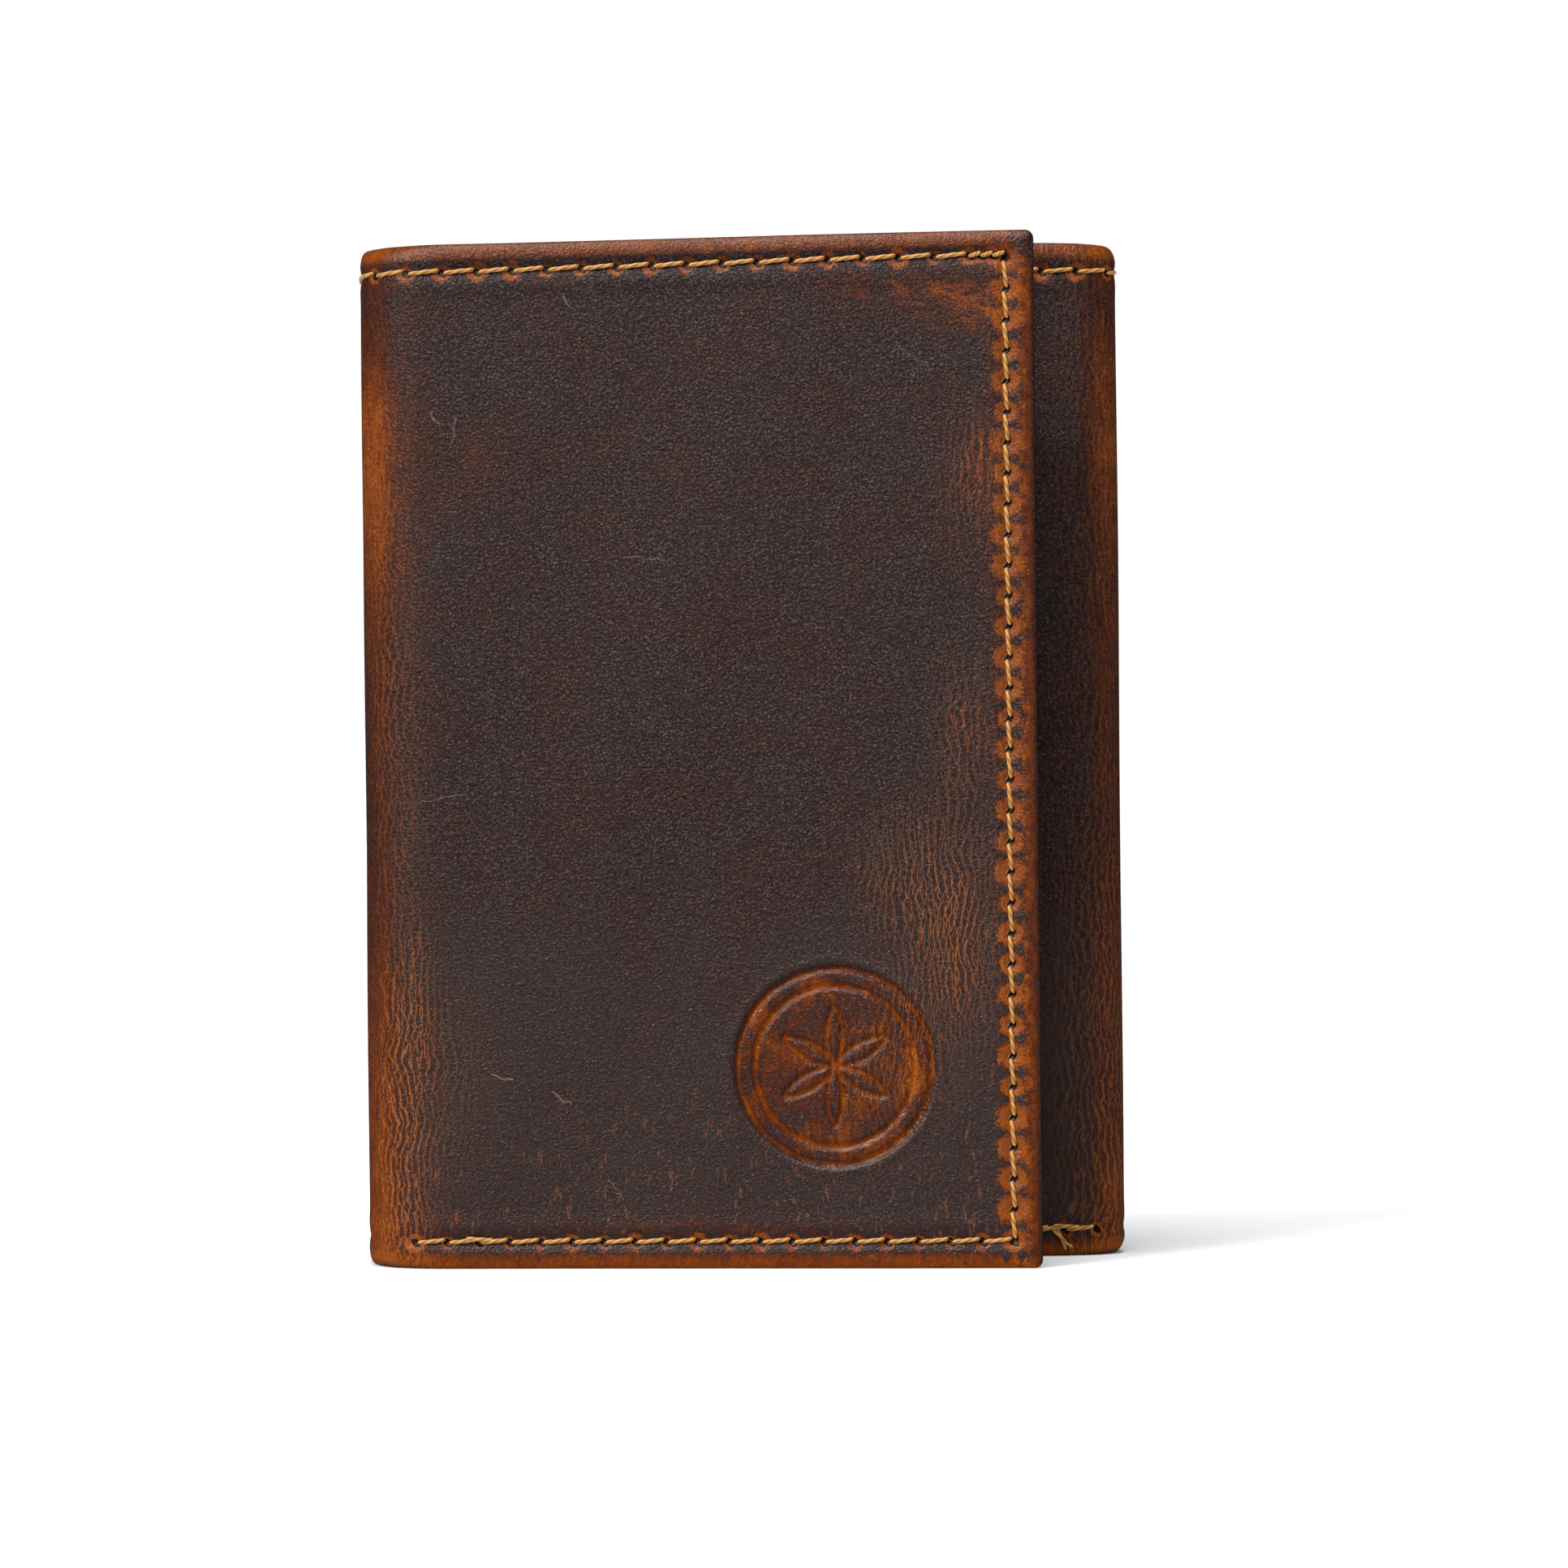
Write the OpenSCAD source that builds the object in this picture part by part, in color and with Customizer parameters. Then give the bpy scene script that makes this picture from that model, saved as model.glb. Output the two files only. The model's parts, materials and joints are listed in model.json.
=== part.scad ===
// Trifold wallet, closed, standing upright on its bottom edges.
// +Z is up along the folds, -Y is the side that the front flap closes over,
// +X runs from the left fold to the right fold. Millimetres.
//
// Every panel is drawn flat in its own frame: x runs along the panel, y goes from the
// middle of the shell leather towards the inside of the wallet, z is the height.

/* [Shell] */
// Height of the shell
shell_h = 110; // [106:1:120]
// Thickness of the shell leather
leather = 1.3; // [1:0.1:1.6]
// Distance between the two folds of the back panel
back_w = 81; // [80:0.5:86]
// Length of the front flap, from its fold to its free edge
front_w = 71.5; // [70:0.5:74]
// Length of the inner flap, from its fold to its free edge
inner_w = 60; // [60:0.5:62]
// Width of the left spine, between its two folds
left_spine_w = 18.5; // [18.5:0.5:24]
// Width of the right spine, between its two folds
right_spine_w = 13.4; // [13.4:0.1:14]
// Angle that the front flap rests open at
ajar = 10; // [0:1:15]
// Radius of the free corners
corner_r = 2; // [1:0.5:4]
// Clearance between a fold's round edge and the next panel
fold_gap = 0.1; // [0.1:0.05:0.3]

/* [Inner layers] */
// Thickness of the fabric lining
lining_t = 0.25; // [0.2:0.05:0.4]
// Depth of the bill compartment
bill_gap = 0.8; // [0.5:0.1:0.8]
// Thickness of the bill divider
divider_t = 0.45; // [0.3:0.05:0.5]
// Height of the bill divider above its foot
divider_h = 104; // [100:1:104]
// Gap between the ground and the foot of the inner layers
foot = 0.8; // [0.6:0.1:1]
// Distance of the inner layers from a fold
fold_margin = 2.6; // [2.6:0.1:4]
// Distance of the inner layers from a free edge
edge_margin = 1; // [0.8:0.1:1.5]
// Width of the turned hem that closes the bill compartment
hem_w = 6; // [4:0.5:7]

/* [Card pockets] */
// Depth of one card slot
slot_gap = 0.8; // [0.8:0.05:0.85]
// Thickness of the pocket leather
pocket_t = 0.6; // [0.5:0.05:0.6]
// Height of the rear pocket's mouth
mouth_h = 100; // [98:1:102]
// Step from one pocket's mouth down to the next
mouth_step = 8; // [6:1:8]
// Height of a card
card_h = 85.6; // [85.6:0.1:86]
// How far a card stands out of its pocket
card_show = 5; // [4:1:6]
// Distance of the back pockets and the card window from a fold
pocket_margin = 5; // [4:0.5:7]
// Width of the side seams of the back pockets
back_seam_w = 3; // [2:0.5:5]
// Width of the side seams of the flap pockets
flap_seam_w = 1; // [0.8:0.1:1]

/* [Card window] */
// Width of the window frame
frame_w = 64; // [60:1:65]
// Height of the window frame
frame_h = 94; // [92:1:98]
// Thickness of the frame leather
frame_t = 0.75; // [0.6:0.05:0.8]
// Thickness of the clear film
film_t = 0.25; // [0.2:0.05:0.3]
// Width of the window
window_w = 50; // [44:1:52]
// Height of the window
window_h = 70; // [60:1:74]
// Height of the window's sill above the frame's foot
window_sill = 11; // [9:1:14]
// Radius of the window's corners
window_r = 3; // [1:0.5:6]
// Radius of the thumb notch
notch_r = 9; // [6:1:10]
// Height of the floor that an identity card stands on, above the frame's foot
id_floor = 6; // [4:1:7]

/* [Stitching] */
// Radius of the thread
thread_r = 0.3; // [0.2:0.05:0.35]
// Distance of the stitch line from the shell's edge
stitch_inset = 3; // [2.5:0.1:3.5]
// Pitch of the stitches along the top and bottom edges
pitch_h = 3.75; // [3:0.05:4.5]
// Pitch of the stitches along the free edges
pitch_v = 3.25; // [3:0.05:4]
// Slant of a stitch
slant = 8; // [0:1:12]
// Distance from a fold at which the bottom stitches start
bottom_start = 5; // [4:0.5:8]
// The same distance on the inner flap
inner_start = 3; // [2.5:0.5:6]
// Share of the pitch that a stitch fills
stitch_fill = 0.8; // [0.6:0.05:0.9]
// Distance of the inner stitch lines from the edges of the window and the back pockets
pocket_inset = 1.5; // [1.2:0.1:2]
// The same distance on the narrower pockets of the inner flap
flap_inset = 1; // [0.8:0.1:1.2]
// Length of the loose thread end
tail_len = 2.2; // [1.5:0.1:2.4]
// Distance of the loose thread end from the right fold
tail_from_fold = 7; // [5:0.5:9]
// Height of its middle
tail_z = 1.5; // [1.4:0.1:1.6]
// Its angle below the horizontal
tail_angle = 40; // [20:5:45]

/* [Stamp] */
// Outer radius of the stamped ring
stamp_r = 10.8; // [8:0.2:11]
// Distance of the stamp's centre from the free edge
stamp_edge = 21.9; // [18:0.1:26]
// Height of the stamp's centre
stamp_z = 21.5; // [18:0.1:26]
// Depth of the stamped grooves
stamp_depth = 0.2; // [0.1:0.05:0.3]
// Width of a stamped groove
stamp_groove_w = 0.6; // [0.4:0.1:1]
// Step from the outer ring to the inner one
stamp_step = 2; // [1.5:0.5:4]

/* [Hidden] */
$fn = 48;

half = leather / 2;
plate_start = half + fold_gap;
strip_gap = 0.1; // keeps the strips of one node apart
seam_drop = 1; // the side seams end this far below a pocket's mouth
stitch_clear = 1; // stitch lines stop this far short of a fold or of each other

// The shell's leather lies this far behind the origin, so that the closed wallet's box
// is centred on it.
flap_tip = front_w * sin(ajar) + half * cos(ajar);
back_y = (left_spine_w + flap_tip - half - thread_r) / 2;

// Depths of the layers, from the middle of the shell leather inwards
lining_y = half;
bill_y = lining_y + lining_t;
divider_y = bill_y + bill_gap;
slot_y = divider_y + divider_t;
slot_step = slot_gap + pocket_t;
film_y = slot_y + slot_gap;
frame_y = film_y + film_t;
pocket_face = slot_y + 3 * slot_step;

lining_h = shell_h - 2 * foot;
pocket_foot = foot + 0.4;

// Widths of the inner layers
front_layer_w = front_w - fold_margin - edge_margin;
back_layer_w = back_w - 2 * fold_margin;
inner_layer_w = inner_w - fold_margin - edge_margin;
back_pocket_w = back_w - 2 * pocket_margin;
frame_x = pocket_margin;
window_x = frame_x + (frame_w - window_w) / 2;
window_z = pocket_foot + window_sill;

leather_dark = [0.24, 0.13, 0.09];
leather_tan = [0.55, 0.29, 0.12];
lining_brown = [0.30, 0.22, 0.16];
thread_gold = [0.80, 0.55, 0.22];

// ---- panel frames ----

module in_back() { translate([back_w / 2, back_y, 0]) rotate(180) children(); }
module in_left_spine() { translate([-back_w / 2, back_y, 0]) rotate(-90) children(); }
module in_front_flap() {
    translate([-back_w / 2, back_y - left_spine_w, 0]) rotate(-ajar) children();
}
// The right spine is drawn from its front fold to its rear one.
module in_right_spine() {
    translate([back_w / 2, back_y - right_spine_w, 0]) rotate(90) children();
}
// The inner flap is drawn from its free edge to its fold.
module in_inner_flap() {
    translate([back_w / 2 - inner_w, back_y - right_spine_w, 0]) children();
}

// ---- shapes ----

// A box from x0 to x1, y0 to y0 + t, z0 to z1
module layer(x0, x1, y0, t, z0, z1) { translate([x0, y0, z0]) cube([x1 - x0, t, z1 - z0]); }

// A flat panel whose outline is rounded at its corners, standing in the xz plane
module rounded_layer(x0, x1, y0, t, z0, z1, r) {
    translate([0, y0 + t, 0]) rotate([90, 0, 0]) linear_extrude(t) rounded(x0, x1, z0, z1, r, r);
}

// A rectangle with corner radius ra at its x0 side and rb at its x1 side
module rounded(x0, x1, z0, z1, ra, rb) {
    translate([x0 + ra, z0]) square([x1 - rb - x0 - ra, z1 - z0]);
    if (ra > 0) {
        translate([x0, z0 + ra]) square([ra, z1 - z0 - 2 * ra]);
        for (z = [z0 + ra, z1 - ra]) translate([x0 + ra, z]) circle(ra);
    }
    if (rb > 0) {
        translate([x1 - rb, z0 + rb]) square([rb, z1 - z0 - 2 * rb]);
        for (z = [z0 + rb, z1 - rb]) translate([x1 - rb, z]) circle(rb);
    }
}

// Shell leather of one panel: corner radii ra and rb, square where they are zero
module cover_plate(x0, x1, ra, rb) {
    translate([0, half, 0]) rotate([90, 0, 0]) linear_extrude(leather)
        rounded(x0, x1, 0, shell_h, ra, rb);
}

// The round edge on which a fold turns
module fold_bead(x) { translate([x, 0, 0]) cylinder(h = shell_h, r = half); }

// A ring-shaped groove cut into the outer face
module stamp_groove(x, r) {
    translate([x, -half + stamp_depth, stamp_z]) rotate([90, 0, 0]) linear_extrude(leather)
        difference() {
            circle(r);
            circle(r - stamp_groove_w);
        }
}

// One stitch: a half-round length of thread with its flat side on the leather
module stitch(len) {
    rotate([0, slant, 0]) translate([-len / 2, 0, 0]) rotate([0, 90, 0]) linear_extrude(len)
        difference() {
            circle(thread_r);
            translate([-2 * thread_r, 0]) square([4 * thread_r, 2 * thread_r]);
        }
}

// Stitches from x0 to x1 at height z, on the face at depth y that looks towards -y
module stitches_along(x0, x1, y, z, pitch = pitch_h) {
    count = floor((x1 - x0) / pitch);
    step = (x1 - x0) / count;
    for (i = [0:count - 1]) translate([x0 + (i + 0.5) * step, y, z]) stitch(stitch_fill * step);
}

// Stitches from z0 to z1 at x, on the face at depth y that looks towards -y
module stitches_up(x, y, z0, z1, pitch = pitch_v) {
    count = floor((z1 - z0) / pitch);
    step = (z1 - z0) / count;
    for (i = [0:count - 1])
        translate([x, y, z0 + (i + 0.5) * step]) rotate([0, 90, 0]) stitch(stitch_fill * step);
}

// The same two, on a face that looks towards +y
module inner_stitches_along(x0, x1, y, z, pitch = pitch_h) {
    translate([0, y, 0]) mirror([0, 1, 0]) stitches_along(x0, x1, 0, z, pitch);
}
module inner_stitches_up(x, y, z0, z1, pitch = pitch_v) {
    translate([0, y, 0]) mirror([0, 1, 0]) stitches_up(x, 0, z0, z1, pitch);
}

// Mouth and floor heights of pocket i, 0 at the rear
function mouth(i) = mouth_h - i * mouth_step;
function card_foot(i) = mouth(i) + card_show - card_h;

// The turned seam allowances that close one slot at its two sides and its foot
module slot_seams(x0, x1, y0, w, z_floor, z_top) {
    layer(x0, x0 + w, y0, slot_gap, pocket_foot, z_top);
    layer(x1 - w, x1, y0, slot_gap, pocket_foot, z_top);
    layer(x0 + w + strip_gap, x1 - w - strip_gap, y0, slot_gap, pocket_foot, z_floor);
}

module pocket_seams(x0, x1, w) {
    for (i = [0:2]) slot_seams(x0, x1, slot_y + i * slot_step, w, card_foot(i), mouth(i) - seam_drop);
}

module pocket_panel(x0, x1, i) {
    layer(x0, x1, slot_y + i * slot_step + slot_gap, pocket_t, pocket_foot, mouth(i));
}

// ---- shell leather ----

module front_flap_cover() {
    color(leather_dark) in_front_flap() difference() {
        cover_plate(plate_start, front_w, 0, corner_r);
        stamp_groove(front_w - stamp_edge, stamp_r);
        stamp_groove(front_w - stamp_edge, stamp_r - stamp_step);
    }
}
module left_spine_cover() {
    color(leather_tan) in_left_spine() {
        cover_plate(plate_start, left_spine_w, 0, 0);
        fold_bead(left_spine_w);
    }
}
module back_cover() {
    color(leather_dark) in_back() {
        cover_plate(0, back_w, 0, 0);
        fold_bead(0);
        fold_bead(back_w);
    }
}
module right_spine_cover() {
    color(leather_tan) in_right_spine() {
        fold_bead(0);
        cover_plate(0, right_spine_w - plate_start, 0, 0);
    }
}
module inner_flap_cover() {
    color(leather_dark) in_inner_flap() cover_plate(0, inner_w - plate_start, corner_r, 0);
}

// ---- fabric lining, glued to the shell ----

module lining(x0, x1) {
    color(lining_brown) layer(x0, x1, lining_y, lining_t, foot, foot + lining_h);
}
module front_flap_lining() {
    in_front_flap() lining(fold_margin, fold_margin + front_layer_w);
}
module left_spine_lining() { in_left_spine() lining(half + foot, left_spine_w - half - foot); }
module back_lining() { in_back() lining(fold_margin, fold_margin + back_layer_w); }
module right_spine_lining() { in_right_spine() lining(half + foot, right_spine_w - half - foot); }
module inner_flap_lining() { in_inner_flap() lining(edge_margin, edge_margin + inner_layer_w); }

// ---- bill divider, the wall between the bill compartment and the card pockets ----

module divider(x0, x1) {
    color(leather_tan) layer(x0, x1, divider_y, divider_t, foot, foot + divider_h);
}
module front_flap_divider() {
    in_front_flap() divider(fold_margin, fold_margin + front_layer_w);
}
module left_spine_divider() {
    in_left_spine() divider(fold_margin, left_spine_w - fold_margin);
}
module back_divider() { in_back() divider(fold_margin, fold_margin + back_layer_w); }
module right_spine_divider() {
    in_right_spine() divider(fold_margin, right_spine_w - fold_margin);
}
module inner_flap_divider() {
    in_inner_flap() divider(edge_margin, edge_margin + inner_layer_w);
}

// ---- turned hems that close the bill compartment ----

module bottom_hem(x0, x1) {
    color(leather_tan) layer(x0, x1, bill_y, bill_gap, foot, foot + hem_w);
}
module edge_hem(x0, x1) {
    color(leather_tan)
        layer(x0, x1, bill_y, bill_gap, foot + hem_w + strip_gap, foot + divider_h);
}
module front_flap_hem() {
    x1 = fold_margin + front_layer_w;
    in_front_flap() {
        bottom_hem(fold_margin, x1);
        edge_hem(x1 - hem_w, x1);
    }
}
module back_hem() { in_back() bottom_hem(fold_margin, fold_margin + back_layer_w); }
module inner_flap_hem() {
    in_inner_flap() {
        bottom_hem(edge_margin, edge_margin + inner_layer_w);
        edge_hem(edge_margin, edge_margin + hem_w);
    }
}

// ---- card window on the front flap ----

module id_pocket_seams() {
    color(leather_tan) in_front_flap()
        slot_seams(frame_x, frame_x + frame_w, slot_y, back_seam_w,
            pocket_foot + id_floor, pocket_foot + frame_h - seam_drop);
}
module notch() {
    translate([frame_x + frame_w / 2, 0, pocket_foot + frame_h])
        rotate([-90, 0, 0]) cylinder(h = 10, r = notch_r);
}
module id_window_film() {
    color([0.85, 0.90, 0.92, 0.35]) in_front_flap() difference() {
        layer(frame_x + 1, frame_x + frame_w - 1, film_y, film_t,
            pocket_foot + 1, pocket_foot + frame_h - 1);
        notch();
    }
}
module id_window_frame() {
    color(leather_tan) in_front_flap() difference() {
        layer(frame_x, frame_x + frame_w, frame_y, frame_t, pocket_foot, pocket_foot + frame_h);
        rounded_layer(window_x, window_x + window_w, frame_y - 1, frame_t + 2,
            window_z, window_z + window_h, window_r);
        notch();
    }
}

// ---- card pockets ----

module back_pocket_seams() {
    color(leather_tan) in_back()
        pocket_seams(pocket_margin, pocket_margin + back_pocket_w, back_seam_w);
}
module back_pocket(i) {
    color(leather_tan) in_back() pocket_panel(pocket_margin, pocket_margin + back_pocket_w, i);
}
module back_pocket_1() { back_pocket(0); }
module back_pocket_2() { back_pocket(1); }
module back_pocket_3() { back_pocket(2); }

module flap_pocket_seams() {
    color(leather_tan) in_inner_flap()
        pocket_seams(edge_margin, edge_margin + inner_layer_w, flap_seam_w);
}
module flap_pocket(i) {
    color(leather_tan) in_inner_flap() pocket_panel(edge_margin, edge_margin + inner_layer_w, i);
}
module flap_pocket_1() { flap_pocket(0); }
module flap_pocket_2() { flap_pocket(1); }
module flap_pocket_3() { flap_pocket(2); }

// ---- stitching ----

top_z = shell_h - stitch_inset;

module front_flap_thread() {
    edge_x = front_w - stitch_inset;
    color(thread_gold) in_front_flap() {
        stitches_along(stitch_clear, edge_x, -half, top_z);
        stitches_along(bottom_start, edge_x, -half, stitch_inset);
        stitches_up(edge_x, -half, stitch_inset + stitch_clear, top_z - stitch_clear);
    }
}
module left_spine_thread() {
    color(thread_gold) in_left_spine()
        stitches_along(stitch_clear, left_spine_w - stitch_clear, -half, top_z);
}
module back_thread() {
    color(thread_gold) in_back() {
        stitches_along(stitch_clear, back_w - stitch_clear, -half, top_z);
        stitches_along(bottom_start, back_w - bottom_start, -half, stitch_inset);
    }
}
module right_spine_thread() {
    color(thread_gold) in_right_spine()
        stitches_along(stitch_clear, right_spine_w - stitch_clear, -half, top_z);
}
module inner_flap_thread() {
    color(thread_gold) in_inner_flap() {
        stitches_along(stitch_inset, inner_w - stitch_clear, -half, top_z);
        stitches_along(stitch_inset, inner_w - inner_start, -half, stitch_inset);
        stitches_up(stitch_inset, -half, stitch_inset + stitch_clear, top_z - stitch_clear);
    }
}
// A U-shaped line of stitches from x0 to x1 and up to z1, on an inner face at depth y
module u_stitches(x0, x1, y, z1) {
    z0 = pocket_foot + pocket_inset;
    color(thread_gold) {
        inner_stitches_along(x0, x1, y, z0);
        for (x = [x0, x1]) inner_stitches_up(x, y, z0 + stitch_clear, z1 - stitch_clear);
    }
}
module id_window_thread() {
    in_front_flap() u_stitches(frame_x + pocket_inset, frame_x + frame_w - pocket_inset,
        frame_y + frame_t, pocket_foot + frame_h);
}
module back_pocket_thread() {
    in_back() u_stitches(pocket_margin + pocket_inset,
        pocket_margin + back_pocket_w - pocket_inset, pocket_face, mouth(2));
}
module flap_pocket_thread() {
    in_inner_flap() u_stitches(edge_margin + flap_inset, edge_margin + inner_layer_w - flap_inset,
        pocket_face, mouth(2));
}
// The cut end of the bottom seam's thread, left hanging near the right fold
module loose_thread_tail() {
    color(thread_gold) in_inner_flap()
        translate([inner_w - tail_from_fold, -half, tail_z])
        rotate([0, tail_angle - slant, 0]) stitch(tail_len);
}

front_flap_cover();
left_spine_cover();
back_cover();
right_spine_cover();
inner_flap_cover();
front_flap_lining();
left_spine_lining();
back_lining();
right_spine_lining();
inner_flap_lining();
front_flap_divider();
left_spine_divider();
back_divider();
right_spine_divider();
inner_flap_divider();
front_flap_hem();
back_hem();
inner_flap_hem();
id_pocket_seams();
id_window_film();
id_window_frame();
back_pocket_seams();
back_pocket_1();
back_pocket_2();
back_pocket_3();
flap_pocket_seams();
flap_pocket_1();
flap_pocket_2();
flap_pocket_3();
front_flap_thread();
left_spine_thread();
back_thread();
right_spine_thread();
inner_flap_thread();
id_window_thread();
back_pocket_thread();
flap_pocket_thread();
loose_thread_tail();
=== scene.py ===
import json
import math

import bmesh
import bpy
import numpy as np
from mathutils import Matrix, Vector


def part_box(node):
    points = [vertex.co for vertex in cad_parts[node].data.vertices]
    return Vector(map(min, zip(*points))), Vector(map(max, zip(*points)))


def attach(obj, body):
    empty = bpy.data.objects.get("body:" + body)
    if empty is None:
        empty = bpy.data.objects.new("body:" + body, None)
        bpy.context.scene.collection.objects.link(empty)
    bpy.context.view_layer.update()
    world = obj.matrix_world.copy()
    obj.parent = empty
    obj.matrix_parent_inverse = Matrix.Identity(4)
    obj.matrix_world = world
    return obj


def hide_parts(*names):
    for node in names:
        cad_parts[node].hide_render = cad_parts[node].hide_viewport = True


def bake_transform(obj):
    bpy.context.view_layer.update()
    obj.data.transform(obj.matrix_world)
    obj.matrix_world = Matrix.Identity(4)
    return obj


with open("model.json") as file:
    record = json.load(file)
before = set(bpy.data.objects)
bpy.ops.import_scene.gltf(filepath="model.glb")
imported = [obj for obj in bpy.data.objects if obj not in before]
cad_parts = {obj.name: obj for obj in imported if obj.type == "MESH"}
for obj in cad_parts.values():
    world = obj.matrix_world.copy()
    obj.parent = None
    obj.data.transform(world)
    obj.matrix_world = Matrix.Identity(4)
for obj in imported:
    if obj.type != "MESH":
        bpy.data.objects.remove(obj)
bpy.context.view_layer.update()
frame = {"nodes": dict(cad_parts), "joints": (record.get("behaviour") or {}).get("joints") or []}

# Lengths are in millimetres until place() and on_panel() turn them into metres.
MM = 0.001


def hinge(joint_name):
    """Where a hinge stands in the plan, in millimetres."""
    joint = next(j for j in frame["joints"] if j["name"] == joint_name)
    return np.array(joint["pos_m"][:2]) / MM


def node_box(node):
    low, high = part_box(node)
    return np.array(low) / MM, np.array(high) / MM


def unit(angle):
    return np.array([math.cos(angle), math.sin(angle)])


# ------ measures of the shell

back_low, back_high = node_box("back_cover")
HEIGHT = back_high[2] - back_low[2]
HALF = (back_high[1] - back_low[1]) / 2
FRONT_LEFT = hinge("front_flap_fold")
REAR_LEFT = hinge("left_spine_fold")
REAR_RIGHT = hinge("right_spine_fold")
FRONT_RIGHT = hinge("inner_flap_fold")
AJAR = math.radians(10)
FRONT_REACH = node_box("front_flap_cover")[1][0] - FRONT_LEFT[0]
FRONT_W = (FRONT_REACH - HALF * math.sin(AJAR)) / math.cos(AJAR)
INNER_W = FRONT_RIGHT[0] - node_box("inner_flap_cover")[0][0]
FRONT_DIR = unit(-AJAR)
FRONT_END = FRONT_LEFT + FRONT_W * FRONT_DIR
INNER_END = FRONT_RIGHT - [INNER_W, 0]

CORNERS = [FRONT_END, FRONT_LEFT, REAR_LEFT, REAR_RIGHT, FRONT_RIGHT, INNER_END]
FOLD_RADII = [6.5, 6.0, 4.5, 4.5]  # of the leather's middle, at the four folds
FOLD_FADE = 3.0  # how far beside and inside a fold's round part its pinch fades
CORNER_R = 0.9  # free corners, in the flat
CORNER_PINCH = 1.35  # how far the ends of a fold are pressed in
CORNER_REACH = 2.6
SWAY = 0.13  # how far the leather strays from flat
SAG = 0.0040  # share by which the shell is lower at the left folds
RIM = 1.15  # width of the burnished, rounded rim
RIM_DROP = 0.62
HEM_WELT = 0.09  # height of the hem's outer welt, of its inner one, and depth of the stitch channel
HEM_INNER_WELT = 0.07
HEM_CHANNEL = 0.17
STITCH_INSET = 3.0
PITCH_TOP = 3.75
PITCH_BOTTOM = 3.3
PITCH_SIDE = 3.25
BOTTOM_START = 4.4  # from a fold to the end of a bottom seam
INNER_START = 3.0
HOLE_ALONG = 0.50  # half size of the painted shade in a stitch hole
HOLE_ACROSS = 0.42
HALO_REACH = 0.98  # rubbed leather round a hole of the level seams, and of the upright ones
HALO_REACH_SIDE = 1.55
HOLE_DEPTH, HOLE_REACH = 0.4, 0.45  # of a stitch hole, and of the dimple round it
DIMPLE_DEPTH, DIMPLE_REACH = 0.07, 1.0
STAMP_R = 10.8
STAMP_EDGE = 21.9  # the stamp's middle, from the front flap's free edge
STAMP_Z = 21.5
STAMP_DEPTH = 0.32  # of its grooves
PETAL_R = 6.4

# ------ the folded leather's path


def build_path():
    """Straight and round parts of the shell in plan, from the front flap's free edge on."""
    parts = []
    starts = []
    reached = 0.0
    cut = 0.0
    for i in range(5):
        a, b = CORNERS[i], CORNERS[i + 1]
        length = np.linalg.norm(b - a)
        along = (b - a) / length
        out = np.array([-along[1], along[0]])
        next_cut = 0.0
        if i < 4:
            after = (CORNERS[i + 2] - b) / np.linalg.norm(CORNERS[i + 2] - b)
            turn = math.acos(float(along @ after))
            next_cut = FOLD_RADII[i] * math.tan(turn / 2)
        starts.append(reached - cut)
        straight = length - cut - next_cut
        parts.append(("line", reached, reached + straight, a + along * cut, along, out))
        reached += straight
        if i < 4:
            centre = b - along * next_cut - out * FOLD_RADII[i]
            arc = FOLD_RADII[i] * turn
            parts.append(("arc", reached, reached + arc, centre, FOLD_RADII[i], out))
            reached += arc
        cut = next_cut
    return parts, starts


PATH, PANEL_STARTS = build_path()
S_END = PATH[-1][2]
FOLDS = [(part[1], part[2]) for part in PATH if part[0] == "arc"]


def s_of(panel, distance):
    """Unrolled distance of a point of panel 0 to 4, counted from that panel's first corner."""
    return PANEL_STARTS[panel] + distance


LEFT_SPINE_W = REAR_LEFT[1] - FRONT_LEFT[1]
BACK_W = REAR_RIGHT[0] - REAR_LEFT[0]
RIGHT_SPINE_W = REAR_RIGHT[1] - FRONT_RIGHT[1]
SPLITS = [0.0, s_of(1, LEFT_SPINE_W / 2), s_of(2, BACK_W / 2), s_of(3, RIGHT_SPINE_W / 2), S_END]


def path_at(s):
    """Middle of the leather in plan, and its outward direction, at unrolled distances s."""
    point = np.zeros(s.shape + (2,))
    normal = np.zeros(s.shape + (2,))
    for i, (kind, start, end, origin, along, out) in enumerate(PATH):
        inside = s <= end if i == 0 else s > start
        if kind == "line":
            here = s[inside][..., None] - start
            point[inside] = origin + here * along
            normal[inside] = out
        else:
            angle = -(s[inside] - start) / along
            cos, sin = np.cos(angle), np.sin(angle)
            turned = np.stack([out[0] * cos - out[1] * sin, out[0] * sin + out[1] * cos], -1)
            point[inside] = origin + along * turned
            normal[inside] = turned
    return point, normal


def smooth(x, low, high):
    t = np.clip((x - low) / (high - low), 0, 1)
    return t * t * (3 - 2 * t)


def bump(x, centre, width):
    return np.exp(-(((x - centre) / width) ** 2))


def fold_share(s):
    """1 on a fold's round part, fading to 0 beside it."""
    share = np.zeros_like(s)
    for start, end in FOLDS:
        rising = smooth(s, start - FOLD_FADE, start + FOLD_FADE)
        falling = 1 - smooth(s, end - FOLD_FADE, end + FOLD_FADE)
        share = np.maximum(share, rising * falling)
    return share


def sway(s, z):
    wide = np.sin(0.134 * s + 1.9) * np.sin(0.076 * z + 0.6)
    narrow = np.sin(0.27 * s + 0.103 * z)
    return SWAY * (0.65 * wide + 0.35 * narrow)


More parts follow.
